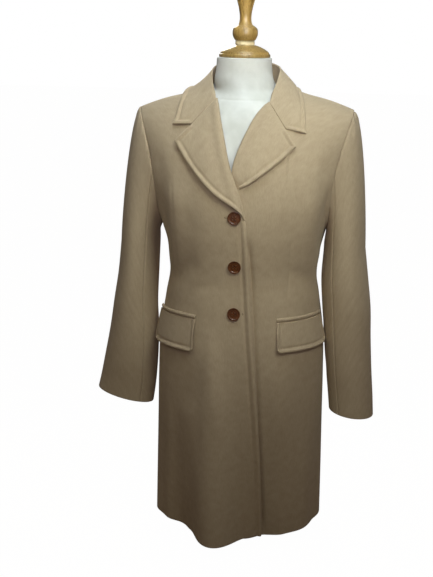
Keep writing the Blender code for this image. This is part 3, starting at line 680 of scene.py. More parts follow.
@dataclass(frozen=True)
class Block:
    """Body of the coat: the sections, edges and folds that every panel follows."""

    wall: float = 0.0025
    seam_gap: float = 0.00008
    lay_gap: float = 0.0004
    lap_lift: float = 0.0031
    lap_loose: float = 0.0030
    lap_loose_from: float = 0.48
    lap_fade: tuple[float, float] = (-0.095, -0.050)
    shift: float = 0.0065
    underarm: float = 0.635
    tip: float = 0.861
    neck_point: float = 0.072
    back_neck: float = 0.903
    front_roll: float = 2.0
    back_roll: float = 3.5
    hem_front: float = 0.020
    hem_side: float = 0.034
    body: Table = field(default_factory=lambda: table(
        "level half_width front back square",
        (0.0, 0.168, 0.128, 0.15, 2.2),
        (0.15, 0.1676, 0.14, 0.148, 2.2),
        (0.26, 0.1665, 0.149, 0.142, 2.25),
        (0.34, 0.1655, 0.154, 0.136, 2.3),
        (0.42, 0.1625, 0.155, 0.128, 2.3),
        (0.5, 0.151, 0.15, 0.116, 2.3),
        (0.558, 0.1425, 0.147, 0.108, 2.3),
        (0.6, 0.15, 0.151, 0.109, 2.3),
        (0.635, 0.159, 0.155, 0.112, 2.3),
        (0.69, 0.175, 0.158, 0.114, 2.3),
        (0.725, 0.186, 0.157, 0.114, 2.3),
        (0.773, 0.2, 0.154, 0.113, 2.3),
        (0.817, 0.214, 0.152, 0.112, 2.3),
        (0.861, 0.232, 0.15, 0.112, 2.3)))
    shoulder: Table = field(default_factory=lambda: table(
        "x z",
        (0.0, 0.93),
        (0.045, 0.917),
        (0.075, 0.902),
        (0.11, 0.89),
        (0.16, 0.877),
        (0.203, 0.861),
        (0.225, 0.851)))
    armhole: Table = field(default_factory=lambda: table(
        "rise front back",
        (0.0, 1.5708, 1.5708),
        (0.04, 1.457, 1.47),
        (0.1, 1.363, 1.395),
        (0.2, 1.25, 1.31),
        (0.35, 1.145, 1.225),
        (0.5, 1.1, 1.185),
        (0.65, 1.085, 1.165),
        (0.8, 1.09, 1.145),
        (1.0, 1.065, 1.065)))
    front_edge: Table = field(default_factory=lambda: table(
        "z right left",
        (0.0, 0.0662, 0.0),
        (0.2, 0.0582, -0.01),
        (0.35, 0.0477, -0.016),
        (0.496, 0.0348, -0.02),
        (0.586, 0.0282, -0.02),
        (0.64, 0.0247, -0.019),
        (0.672, 0.0213, -0.018),
        (0.7, 0.0108, -0.014),
        (0.759, -0.0125, -0.006),
        (0.813, -0.0265, 0.0125),
        (0.854, -0.0378, 0.0335),
        (0.879, -0.055, 0.06),
        (0.901, -0.075, 0.088)))
    folds: Table = field(default_factory=lambda: table(
        "hem_turn top_turn depth reach top",
        (-0.175, -0.29, 0.047, 0.35, 0.44),
        (-0.72, -0.7, -0.012, 0.26, 0.36),
        (0.4, 0.36, -0.012, 0.26, 0.36),
        (0.95, 0.92, 0.006, 0.3, 0.36),
        (-1.3, -1.28, 0.006, 0.26, 0.36),
        (1.45, 1.42, 0.005, 0.26, 0.36),
        (-1.55, -1.55, -0.0065, 0.35, 0.4),
        (-1.95, -1.95, -0.01, 0.28, 0.4),
        (2.05, 2.05, -0.009, 0.28, 0.4),
        (-2.55, -2.5, 0.012, 0.32, 0.42),
        (2.6, 2.55, 0.011, 0.3, 0.42)))
    creases: dict[tuple[Side, Face], tuple[Crease, ...]] = field(default_factory=lambda: {
        (Side.RIGHT, Face.FRONT): creases(
            (-64, 602, -96, 567, -134, 512, -2, 13),
            (-58, 575, -92, 537, -128, 498, 1.8, 15),
            (-121, 735, -112, 640, -108, 500, -0.8, 2.2, 0.12),
            (-118, 745, -112, 660, -121, 500, 5, 19),
            (-153, 735, -139, 650, -137, 565, -5.5, 12),
            (-40, 640, -75, 655, -118, 690, -0.9, 14),
            (-36, 470, -34, 370, -12, 180, 3.5, 14),
            (-60, 420, -62, 300, -52, 130, -3, 14),
            (-82, 330, -83, 200, -86, 20, 4.6, 20, 0.25),
            (-125, 395, -130, 300, -128, 190, 1.6, 18),
            (-20, 555, -45, 545, -80, 530, -1.2, 9),
            (-150, 800, -145, 745, -128, 700, -2.2, 13),
        ),
        (Side.LEFT, Face.FRONT): creases(
            (100, 594, 126, 551, 157, 502, -1.6, 12),
            (96, 572, 128, 530, 158, 482, 1.9, 14),
            (104.5, 668, 101.6, 600, 98.5, 488, -1, 2.2, 0.12),
            (150, 775, 134, 640, 137, 480, 5.6, 20),
            (88.8, 795, 89.5, 770, 91.5, 742, 2, 3),
            (92.5, 790, 93.5, 768, 95, 740, -2, 2.6),
            (85, 410, 92, 320, 94, 200, 2.4, 20),
            (128, 410, 138, 300, 140, 140, -2.2, 16),
            (50, 640, 78, 650, 115, 680, -0.8, 14),
            (26.2, 650, 49.4, 360, 68.3, 10, -6, 5.2, 0.08),
            (40, 600, 63, 340, 81, 60, -2.6, 18, 0.2),
            (178, 740, 161, 660, 154, 575, -5.5, 11),
            (165, 800, 158, 745, 145, 700, -2, 13),
        ),
        (Side.RIGHT, Face.BACK): creases(
            (-20, 600, -75, 582, -135, 560, -3.5, 11),
            (-30, 575, -80, 550, -130, 520, 2.8, 12),
            (-72, 700, -68, 580, -74, 440, -1, 3, 0.15),
            (-120, 790, -110, 710, -90, 640, 3, 18),
            (-50, 400, -56, 260, -60, 90, -4, 20),
        ),
        (Side.LEFT, Face.BACK): creases(
            (32, 604, 80, 588, 145, 553, -3.2, 12),
            (40, 572, 86, 556, 138, 515, 2.6, 12),
            (86, 705, 81, 580, 86, 435, -1, 3, 0.15),
            (132, 785, 122, 715, 104, 650, 3, 17),
            (70, 390, 72, 270, 82, 80, -3.6, 21),
        ),
    })

    def shoulder_height(self, x: Array) -> Array:
        """Height of the shoulder line at a distance from the middle of the coat."""
        return along(self.shoulder, "x", "z", np.abs(x))

    def level_of(self, x: Array, z: Array) -> Array:
        """Section level of a point, which follows the shoulder slope above the underarm."""
        rise = (np.asarray(z, float) - self.underarm) / (self.shoulder_height(x) - self.underarm)
        return np.where(rise <= 0, z, self.underarm + (self.tip - self.underarm) * np.minimum(rise, 1.0))

    def rise_of(self, level: Array) -> Array:
        """Share of the way from the underarm to the shoulder."""
        return (level - self.underarm) / (self.tip - self.underarm)

    def half_width(self, level: Array) -> Array:
        """Half width of the coat's body at a level."""
        return along(self.body, "level", "half_width", level)

    def fold_out(self, side: Side, turn: Array, level: Array) -> Array:
        """How far the hanging folds stand out at a signed turn round the coat.

        Args:
            side: Wearer's side.
            turn: Turn round the body, 0 at the centre front.
            level: Section level.

        Returns:
            Distances out.
        """
        out = np.zeros(np.broadcast(turn, level).shape)
        for hem_turn, top_turn, depth, reach, top in zip(*self.folds.values()):
            if side is Side.LEFT and hem_turn < 0:
                continue
            share = np.clip(1 - level / top, 0.0, 1.0)
            away = np.abs(turn - top_turn - (hem_turn - top_turn) * share) / reach
            out = out + depth * share ** 1.15 * 0.5 * (1 + np.cos(np.pi * np.clip(away, 0.0, 1.0)))
        return out

    def point(self, side: Side, turn: Array, level: Array) -> Array:
        """Point of the coat's outer form.

        Args:
            side: Wearer's side.
            turn: Turn round the body, 0 at the centre front and pi at the centre back.
            level: Section level.

        Returns:
            Points in the part's frame.
        """
        turn, level = np.broadcast_arrays(np.asarray(turn, float), np.asarray(level, float))
        across = np.sin(turn)
        half_width = self.half_width(level)
        square = along(self.body, "level", "square", level)
        rise = np.clip(self.rise_of(level), 0.0, 1.0)
        is_front = np.cos(turn) >= 0
        front = along(self.body, "level", "front", level)
        back = along(self.body, "level", "back", level)
        reach = np.where(is_front, front * np.sqrt(1 - rise ** self.front_roll),
                         back * np.sqrt(1 - rise ** self.back_roll))
        x = half_width * across
        y = np.where(is_front, -reach, reach) * np.maximum(1 - np.abs(across) ** square, 0.0) ** (1 / square)
        outward = unit(np.stack([x / half_width ** 2, y / np.where(is_front, front, back) ** 2], -1))
        out = self.fold_out(side, side.sign * turn, level)
        x = x + outward[..., 0] * out
        y = y + outward[..., 1] * out
        climb = self.underarm + (self.shoulder_height(x) - self.underarm) * self.rise_of(level)
        return np.stack([side.sign * x + self.shift, y, np.where(level <= self.underarm, level, climb)], -1)

    def normal(self, side: Side, turn: Array, level: Array) -> Array:
        """Outward direction of the coat's form.

        Args:
            side: Wearer's side.
            turn: Turn round the body, 0 at the centre front.
            level: Section level.

        Returns:
            Directions of length one.
        """
        step_turn, step_level = 1e-4, 1e-5
        round_way = self.point(side, turn + step_turn, level) - self.point(side, turn - step_turn, level)
        up_way = self.point(side, turn, level) - self.point(side, turn, level - step_level)
        return unit(np.cross(round_way, up_way) * side.sign)

    def front_place(self, side: Side, x: Array, z: Array) -> tuple[Array, Array]:
        """Turn and level of a place on the front, given as seen from the front.

        Args:
            side: Wearer's side.
            x: Place across the coat.
            z: Height.

        Returns:
            Turns and levels.
        """
        own = side.sign * (np.asarray(x, float) - self.shift)
        level = self.level_of(own, z)
        return np.arcsin(np.clip(own / self.half_width(level), -1.0, 1.0)), level

    def lap(self, side: Side, x: Array, z: Array) -> Array:
        """Extra height of the right front where it lies over the left front.

        Args:
            side: Wearer's side.
            x: Place across the coat.
            z: Height.

        Returns:
            Heights over the plain front.
        """
        if side is Side.LEFT:
            return np.zeros(np.shape(x))
        loose = self.lap_loose * np.clip(1 - np.asarray(z) / self.lap_loose_from, 0.0, 1.0)
        fade_from, fade_to = self.lap_fade
        return (self.lap_lift + loose) * ease((np.asarray(x) - fade_from) / (fade_to - fade_from))

    def crease_out(self, side: Side, face: Face, x: Array, z: Array) -> Array:
        """Height of the listed creases of one panel.

        Args:
            side: Wearer's side.
            face: Front or back.
            x: Place across the coat.
            z: Height.

        Returns:
            Heights over the plain panel.
        """
        out = np.zeros(np.shape(x))
        for crease in self.creases[side, face]:
            out = out + crease.out(np.asarray(x), np.asarray(z))
        return out

    def on_front(self, side: Side, x: Array, z: Array, out: Array) -> Array:
        """Points a given distance out from a front, over its lap and its creases.

        Args:
            side: Wearer's side.
            x: Place across the coat.
            z: Height.
            out: Distance out.

        Returns:
            Points in the part's frame.
        """
        turn, level = self.front_place(side, x, z)
        full = np.asarray(out) + self.lap(side, x, z) + self.crease_out(side, Face.FRONT, x, z)
        return self.point(side, turn, level) + self.normal(side, turn, level) * full[..., None]

    def edge_turn(self, side: Side, level: Array) -> Array:
        """Turn of the front edge and roll line at given levels.

        Args:
            side: Wearer's side.
            level: Section level.

        Returns:
            Turns round the body.
        """
        places = self.front_edge[side.word]
        own_level = self.level_of(side.sign * (places - self.shift), self.front_edge["z"])
        x = through(own_level, places, level)
        return np.arcsin(side.sign * (x - self.shift) / self.half_width(level))

    def hem(self, turn: Array) -> Array:
        """Height of the hem round the coat."""
        return self.hem_front + (self.hem_side - self.hem_front) * np.sin(turn) ** 2


@dataclass
class BodyPanels:
    """Fronts and backs, from the hem to the shoulder seams."""

    block: Block
    column_step: float = 0.0021
    back_step: float = 0.0030
    row_step: float = 0.0052
    front_width: float = 0.235
    back_width: float = 0.220
    skirt_length: float = 0.610
    upper_rows: int = 52
    rim_top: tuple[float, float] = (0.650, 0.685)
    edge_lift: float = 0.0034
    edge_reach: float = 0.014
    edge_top: tuple[float, float] = (0.560, 0.660)
    corner_rise: float = 0.0045
    corner_reach: float = 0.040
    seam_fade: float = 0.012
    under_lap: float = 0.035
    top_swings: tuple[float, ...] = (0.012, 0.0065, 0.0028, 0.0)

    def rows(self, power: float) -> tuple[Array, Array]:
        """Shares of the way from the hem to the underarm, then levels up to the shoulder.

        Args:
            power: Roll of the section at the shoulder.

        Returns:
            Shares of the skirt and levels above it.
        """
        low = spaced(self.skirt_length, self.row_step, EDGE_START, (0.0,))
        swing = np.linspace(0.0, np.pi / 2, self.upper_rows)[1:-1]
        swing = np.concatenate([swing, np.pi / 2 - np.array(self.top_swings)])
        rise = np.sin(swing) ** (2 / power)
        return low, self.block.underarm + (self.block.tip - self.block.underarm) * rise

    def stack(self, low_turn: Array, hem: Array, low: Array, high_turn: Array,
              high: Array) -> tuple[Array, Array]:
        """Join the rows of a panel, those below the underarm first.

        Args:
            low_turn: Turns below the underarm.
            hem: Height of the hem at each point.
            low: Shares of the way from the hem to the underarm.
            high_turn: Turns above the underarm.
            high: Levels above the underarm.

        Returns:
            Turns and levels, rows by columns.
        """
        low_level = hem + (self.block.underarm - hem) * low[:, None]
        high_level = np.broadcast_to(high[:, None], high_turn.shape)
        return np.concatenate([low_turn, high_turn]), np.concatenate([low_level, high_level])

    def front_places(self, side: Side) -> tuple[Array, Array]:
        """Turns and levels of the points of a front.

        Args:
            side: Wearer's side.

        Returns:
            Turns and levels, rows by columns.
        """
        block = self.block
        low, high = self.rows(block.front_roll)
        share = spaced(self.front_width, self.column_step, RIM_START, EDGE_START)
        mean = block.hem_front + (block.underarm - block.hem_front) * low
        low_turn = block.edge_turn(side, mean)[:, None] * (1 - share) + np.pi / 2 * share
        hem = block.hem(low_turn)
        if side is Side.RIGHT:
            hem = hem + self.corner_rise * bell(share * self.front_width, self.corner_reach)
        outer = along(block.armhole, "rise", "front", block.rise_of(high))
        high_turn = block.edge_turn(side, high)[:, None] * (1 - share) + outer[:, None] * share
        return self.stack(low_turn, hem, low, high_turn, high)

    def back_places(self) -> tuple[Array, Array]:
        """Turns and levels of the points of a back.

        Returns:
            Turns and levels, rows by columns.
        """
        block = self.block
        low, high = self.rows(block.back_roll)
        share = spaced(self.back_width, self.back_step, EDGE_START, EDGE_START)
        low_turn = np.broadcast_to(np.pi / 2 * (1 + share), (len(low), len(share)))
        outer = np.pi - along(block.armhole, "rise", "back", block.rise_of(high))
        neck_level = block.level_of(np.zeros(1), np.array([block.back_neck]))
        over = ease((high - neck_level) / (block.tip - neck_level))
        inner = np.pi - np.arcsin(block.neck_point / block.half_width(high)) * over ** 0.5
        high_turn = outer[:, None] * (1 - share) + inner[:, None] * share
        return self.stack(low_turn, block.hem(low_turn), low, high_turn, high)

    def grid(self, side: Side, face: Face) -> Array:
        """Points of the showing side of a panel, with its lap, creases and front rim.

        Args:
            side: Wearer's side.
            face: Front or back.

        Returns:
            Points, rows by columns.
        """
        block = self.block
        is_front = face is Face.FRONT
        turns, levels = self.front_places(side) if is_front else self.back_places()
        points = block.point(side, turns, levels)
        normals = block.normal(side, turns, levels)
        seam_rows = levels[:, 0] <= block.underarm + 1e-9
        side_column = -1 if is_front else 0
        normals[seam_rows, side_column, 1] = 0.0
        normals[-1, :, 1] = 0.0
        points[seam_rows, side_column, 1] = face.value * block.seam_gap / 2
        points[-1, :, 1] = face.value * block.seam_gap / 2
        if not is_front:
            middle = np.abs(turns[:, -1] - np.pi) < 1e-6
            normals[middle, -1, 0] = 0.0
            points[middle, -1, 0] = block.shift + side.sign * block.seam_gap / 2
        normals = unit(normals)
        x, z = points[..., 0], points[..., 2]
        from_edge = run_lengths(points, 1)
        to_seam = from_edge[:, -1:] - from_edge if is_front else np.minimum(
            from_edge, from_edge[:, -1:] - from_edge)
        out = block.crease_out(side, face, x, z) * ease(to_seam / self.seam_fade)
        if is_front:
            low, high = self.rim_top
            out = out + FRONT_RIM.out(from_edge) * ease((high - z) / (high - low))
            if side is Side.LEFT:
                out = np.where(x < self.under_lap, np.minimum(out, 0.0), out)
            else:
                low, high = self.edge_top
                lift = self.edge_lift * bell(from_edge, self.edge_reach)
                out = out + lift * ease((high - z) / (high - low))
            out = out + block.lap(side, x, z)
        return points + normals * out[..., None]

    def build(self, wool: Material) -> None:
        """Make and dress the four panels.

        Args:
            wool: Material of the cloth.
        """
        for side in Side:
            for face in Face:
                name = f"{face.name.lower()}_{side.word}"
                sew(name, self.grid(side, face), self.block.wall, wool)


@dataclass
class Sleeves:
    """Two-piece sleeves set into the armholes with padded heads."""

    block: Block
    around: int = 160
    head_rows: int = 40
    arm_step: float = 0.0045
    head_puff: float = 0.055
    pit_puff: float = 0.012
    pit_share: float = 0.45
    pit_out: tuple[float, float] = (0.8, 0.6)
    pit_in: tuple[float, float] = (0.3, 1.0)
    gap: float = 0.0006
    tip_gap: float = 0.0004
    tip_from: float = 0.7
    head_fall: float = 0.26
    head_fore: float = 0.6
    head_drop: float = -0.15
    arm_out: float = 0.03
    arm_fore: float = -0.04
    pit_fall: float = 0.045
    under_from: float = 0.35
    under_to: float = 0.65
    ease_ripple: float = 0.0007
    ripples: int = 17
    ripple_at: float = 0.012
    ripple_width: float = 0.010
    girth: float = 0.36
    crease_from: float = 0.05
    turn_in: float = 0.012
    near_turn: float = 0.02
    first_steps: tuple[float, ...] = (0.0, 0.003, 0.008, 0.016)
    next_step: float = 0.026
    sizes: dict[Side, Table] = field(default_factory=lambda: {
        Side.RIGHT: table(
            "z outer inner middle depth slant",
            (0.274, 0.2865, 0.172, -0.014, 0.037, 0.24),
            (0.3, 0.2815, 0.168, -0.012, 0.042, 0.18),
            (0.35, 0.2725, 0.1635, -0.01, 0.052, 0.1),
            (0.42, 0.26, 0.1625, -0.007, 0.062, 0.05),
            (0.48, 0.2515, 0.1665, -0.004, 0.068, 0.02),
            (0.54, 0.2425, 0.1655, 0.0, 0.073, 0.0),
            (0.6, 0.237, 0.164, 0.004, 0.076, 0.0)),
        Side.LEFT: table(
            "z outer inner middle depth slant",
            (0.262, 0.2795, 0.19, -0.014, 0.046, -0.1),
            (0.3, 0.2765, 0.186, -0.012, 0.048, -0.06),
            (0.35, 0.2715, 0.18, -0.01, 0.053, -0.02),
            (0.42, 0.266, 0.1745, -0.007, 0.06, 0.0),
            (0.48, 0.2625, 0.169, -0.004, 0.066, 0.0),
            (0.54, 0.2545, 0.1645, 0.0, 0.071, 0.0),
            (0.6, 0.246, 0.165, 0.004, 0.074, 0.0)),
    })
    # Places are the way round the girth from the outer side over the front, and the height.
    creases: dict[Side, tuple[Crease, ...]] = field(default_factory=lambda: {
        Side.RIGHT: creases(
            (300, 580, 280, 500, 240, 360, -2.2, 30),
            (200, 660, 190, 550, 170, 400, 2, 35),
            (340, 500, 260, 460, 180, 470, -1.6, 16),
            (330, 440, 270, 410, 200, 430, -1.4, 15),
            (120, 620, 100, 500, 90, 330, -1.6, 30),
        ),
        Side.LEFT: creases(
            (260, 640, 250, 520, 230, 380, -2, 32),
            (180, 600, 170, 480, 140, 320, 2.2, 35),
            (340, 470, 250, 440, 150, 460, -1.6, 18),
            (320, 360, 240, 340, 140, 380, -1.8, 18),
            (100, 500, 80, 420, 60, 330, -1.4, 28),
        ),
    })

    def armhole_half(self, side: Side, face: Face, count: int) -> tuple[Array, Array]:
        """One half of the armhole from the underarm to the shoulder, and the wall's inward way there.

        Args:
            side: Wearer's side.
            face: Front or back.
            count: Number of points.

        Returns:
            Points and inward ways.
        """
        block = self.block
        power = block.front_roll if face is Face.FRONT else block.back_roll
        rise = np.sin(np.linspace(0.0, np.pi / 2, count)) ** (2 / power)
        level = block.underarm + (block.tip - block.underarm) * rise
        turn = along(block.armhole, "rise", face.name.lower(), rise)
        turn = turn if face is Face.FRONT else np.pi - turn
        edge = block.point(side, turn, level)
        near = block.point(side, turn + face.value * self.near_turn, level)
        edge[-1, 1] = near[-1, 1] = face.value * block.seam_gap / 2
        normal = block.normal(side, turn, level)
        normal[0, 1] = normal[-1, 1] = 0.0
        share = np.linspace(0.0, 1.0, count)[:, None]
        pit = ease(1 - share / self.pit_share)
        pit_out, pit_in = (np.array([side.sign * way[0], 0.0, way[1]]) for way in (self.pit_out, self.pit_in))
        away = unit(edge - near) * (1 - pit) + pit_out * pit
        inward = -unit(normal) * (1 - pit) + pit_in * pit
        gap = self.gap + self.tip_gap * ease((share - self.tip_from) / (1 - self.tip_from))
        return edge + unit(away) * gap, unit(inward)

    def armhole_ring(self, side: Side) -> tuple[Array, Array]:
        """Closed ring of the armhole from the shoulder over the front and the underarm to the back.

        Args:
            side: Wearer's side.

        Returns:
            Points and inward ways.
        """
        count = self.around // 2 + 1
        halves = [self.armhole_half(side, face, count) for face in Face]
        rings = []
        for first, second in zip(*halves):
            top = (first[-1] + second[-1]) / 2
            pit = (first[0] + second[0]) / 2
            rings.append(np.concatenate([top[None], first[-2:0:-1], pit[None], second[1:-1]]))
        return rings[0], unit(rings[1])

    def ellipse(self, side: Side, swing: Array, z: float) -> Array:
        """Ring of a sleeve below its head.

        Args:
            side: Wearer's side.
            swing: Angles round the sleeve.
            z: Height.

        Returns:
            Points of the ring.
        """
        sizes = self.sizes[side]
        outer, inner, middle, depth, slant = (
            along(sizes, "z", name, np.array(z)) for name in ("outer", "inner", "middle", "depth", "slant"))
        across = (outer - inner) / 2 * np.cos(swing)
        x = side.sign * ((outer + inner) / 2 + across)
        return np.stack([x, middle - depth * np.sin(swing), z + slant * across], -1)

    def grid(self, side: Side) -> tuple[Array, Array]:
        """Points of a whole sleeve from the armhole to the cuff, and the wall's inward ways.

        Args:
            side: Wearer's side.

        Returns:
            Points and inward ways, rows by columns.
        """
        ring, first_in = self.armhole_ring(side)
        swing = np.linspace(0.0, 2 * np.pi, self.around, endpoint=False)
        heights = self.sizes[side]["z"]
        low = self.ellipse(side, swing, heights[-1])
        lean = 0.5 * (1 + np.cos(swing))[:, None]
        flat = np.ones(self.around)
        start = unit(np.stack([flat * side.sign, -np.sin(swing) * self.head_fore, flat * self.head_drop], -1))
        start = start * (self.pit_puff + (self.head_puff - self.pit_puff) * lean)
        finish = np.array([side.sign * self.arm_out, self.arm_fore, -1.0])
        finish = finish * (self.pit_fall + (self.head_fall - self.pit_fall) * lean)
        steps = np.concatenate([self.first_steps, np.linspace(self.next_step, 1.0, self.head_rows)[:-1]])
        rings = [glide(t, ring, start, low, finish) for t in steps]
        length = heights[-1] - heights[0]
        for share in spaced(length, self.arm_step, (0.0,), EDGE_START):
            rings.append(self.ellipse(side, swing, heights[-1] - share * length))
        grid = np.array(rings)
        round_way = np.roll(grid, -1, axis=1) - np.roll(grid, 1, axis=1)
        normals = unit(np.cross(np.gradient(grid, axis=0), round_way))
        outward = grid[-1] - grid[-1].mean(axis=0)
        normals = normals * np.sign((normals[-1] * outward).sum())
        share = np.broadcast_to(swing / (2 * np.pi), grid.shape[:2])
        out = np.zeros(grid.shape[:2])
        for crease in self.creases[side]:
            out = out + crease.out(share * self.girth, grid[..., 2])
        walk = run_lengths(grid, 0)
        ripple = np.sin(swing * self.ripples + 2 * np.sin(swing * 3)) * ease(lean[:, 0] * 1.6 - 0.5)
        ripple = self.ease_ripple * ripple * bell(walk - self.ripple_at, self.ripple_width)
        out = out * ease(walk / self.crease_from) + ripple
        grid = grid + normals * out[..., None]
        turn_in = ease(walk / self.turn_in)[..., None]
        return grid, unit(first_in * (1 - turn_in) - normals * turn_in)

    def build(self, wool: Material) -> None:
        """Make and dress the top and under sleeves.

        Args:
            wool: Material of the cloth.
        """
        first, last = round(self.under_from * self.around), round(self.under_to * self.around)
        parts = {
            "under": list(range(first, last + 1)),
            "top": list(range(last, self.around)) + list(range(first + 1)),
        }
        for side in Side:
            grid, inward = self.grid(side)
            for part, columns in parts.items():
                name = f"{part}_sleeve_{side.word}"
                outer = grid[:, columns].copy()
                for edge, near in ((0, 1), (-1, -2)):
                    outer[:, edge] += unit(outer[:, near] - outer[:, edge]) * self.block.seam_gap / 2
                sew(name, outer, self.block.wall, wool,
                    inward[:, columns],
                    first_row=self.head_rows + len(self.first_steps) - 1)


@dataclass
class Lapels:
    """Turned-back lapels that roll over the front edges."""

    block: Block
    wall: float = 0.003
    belly: float = 0.003
    stand: float = 0.0028
    stand_low: float = 0.0045
    top_stand: float = 0.0018
    roll_swell: float = 0.0036
    roll_reach: float = 0.010
    seam_reach: float = 0.005
    rows: int = 110
    column_step: float = 0.0022
    width: float = 0.090
    curl_points: int = 9
    thin_end: float = 0.35
    notch_share: float = 0.60
    thin_share: float = 0.15
    low_from: float = 0.10
    low_to: tuple[float, float] = (0.22, 0.62)
    top_from: float = 0.85
    top_across: tuple[float, float] = (0.5, 0.8)
    swell_ends: tuple[float, float] = (0.25, 0.06)
    swell_at: float = 0.003
    rim_from: float = 0.012
    curl_degrees: tuple[float, float] = (-80.0, 78.0)
    wall_most: float = 0.0028
    end_shares: tuple[float, ...] = (0.0, 0.004, 0.009, 0.016)
    sizes: dict[Side, Table] = field(default_factory=lambda: {
        Side.RIGHT: table(
            "share roll_x roll_z edge_x edge_z",
            (0.0, 0.0205, 0.675, 0.0185, 0.6735),
            (0.08, 0.0152, 0.689, 0.0115, 0.6885),
            (0.16, 0.0086, 0.706, -0.005, 0.6985),
            (0.3, -0.0048, 0.74, -0.0342, 0.7165),
            (0.46, -0.0165, 0.774, -0.061, 0.7395),
            (0.62, -0.0248, 0.806, -0.085, 0.764),
            (0.8, -0.0345, 0.844, -0.1035, 0.7875),
            (1.0, -0.043, 0.88, -0.1155, 0.8055)),
        Side.LEFT: table(
            "share roll_x roll_z edge_x edge_z",
            (0.0, 0.0035, 0.727, 0.0068, 0.7275),
            (0.14, -0.002, 0.746, 0.025, 0.7368),
            (0.3, -0.0008, 0.771, 0.044, 0.7505),
            (0.46, 0.0075, 0.798, 0.062, 0.764),
            (0.62, 0.0182, 0.824, 0.079, 0.777),
            (0.8, 0.0325, 0.852, 0.093, 0.79),
            (1.0, 0.053, 0.877, 0.105, 0.8015)),
    })

    def grid(self, side: Side) -> tuple[Array, Array]:
        """Points of the showing side of a lapel with its roll, and the thickness there.

        Args:
            side: Wearer's side.

        Returns:
            Points and thicknesses, rows by columns.
        """
        block, sizes = self.block, self.sizes[side]
        ends = np.array(self.end_shares)
        share = np.concatenate([ends[:-1], np.linspace(ends[-1], 1 - ends[-1], self.rows), 1 - ends[-2::-1]])
        across = spaced(self.width, self.column_step, (0.0,), RIM_START)
        roll = np.stack([along(sizes, "share", name, share) for name in ("roll_x", "roll_z")], -1)
        edge = np.stack([along(sizes, "share", name, share) for name in ("edge_x", "edge_z")], -1)
        place = roll[:, None] * (1 - across[:, None]) + edge[:, None] * across[:, None]
        x, z = place[..., 0], place[..., 1]
        grow = (self.thin_end + (1 - self.thin_end) * ease(share / self.thin_share))[:, None]
        wall = self.wall * np.broadcast_to(grow, x.shape)
        belly = self.belly * np.sin(np.pi * across) * np.sin(np.pi * share)[:, None]
        low = ease(share / self.low_from) * ease((self.low_to[1] - share) / (self.low_to[1] - self.low_to[0]))
        stand = (self.stand * ease(share / 0.3) + self.stand_low * low)[:, None] * across ** 2
        at_top = ease((share - self.top_from) / (1 - self.top_from))[:, None]
        inner, outer = self.top_across
        stand = stand + self.top_stand * at_top * ease((across - inner) / (outer - inner))
        width = np.linalg.norm(edge - roll, axis=-1)[:, None]
        fade = ease(share / self.swell_ends[0]) * ease((1 - share) / self.swell_ends[1])
        swell = self.roll_swell * bell(across * width - self.swell_at, self.roll_reach) * fade[:, None]
        base = block.lay_gap * 2 + belly + stand + wall + swell
        plain = block.on_front(side, x, z, base)
        from_roll = run_lengths(plain, 1)
        to_free = from_roll[:, -1:] - from_roll
        to_top = run_lengths(plain, 0)[-1:] - run_lengths(plain, 0)
        past_notch = across > self.notch_share
        to_free = np.where(past_notch, np.minimum(to_free, to_top), to_free)
        rim = COLLAR_RIM.out(to_free) * grow * ease(from_roll / self.rim_from)
        outer = block.on_front(side, x, z, base + rim)
        turn, level = block.front_place(side, roll[:, 0], roll[:, 1])
        normal = block.normal(side, turn, level)
        way = unit(outer[:, 0] - outer[:, 2])
        way = unit(way - normal * (way * normal).sum(-1, keepdims=True))
        radius = (base[:, 0] + block.wall) / 2 * grow[:, 0]
        centre = outer[:, 0] - normal * radius[:, None]
        angle = np.radians(np.linspace(*self.curl_degrees, self.curl_points))
        curl = centre[:, None] + radius[:, None, None] * (
            np.cos(angle)[:, None] * way[:, None] + np.sin(angle)[:, None] * normal[:, None])
        thickness = np.concatenate([np.repeat(wall[:, :1], self.curl_points, axis=1), wall], axis=1)
        return np.concatenate([curl, outer], axis=1), np.minimum(thickness, self.wall_most)

    def build(self, wool: Material) -> None:
        """Make and dress the two lapels.

        Args:
            wool: Material of the cloth.
        """
        for side in Side:
            outer, thickness = self.grid(side)
            walked, run = run_lengths(outer, 0), run_lengths(outer, 1)
            sewn = (walked[-1:] - walked < self.seam_reach) & (run < self.notch_share * run[:, -1:])
            sew(f"lapel_{side.word}", outer, thickness, wool,
                wall_way(outer, len(outer) // 2, -1, Face.FRONT), sewn)


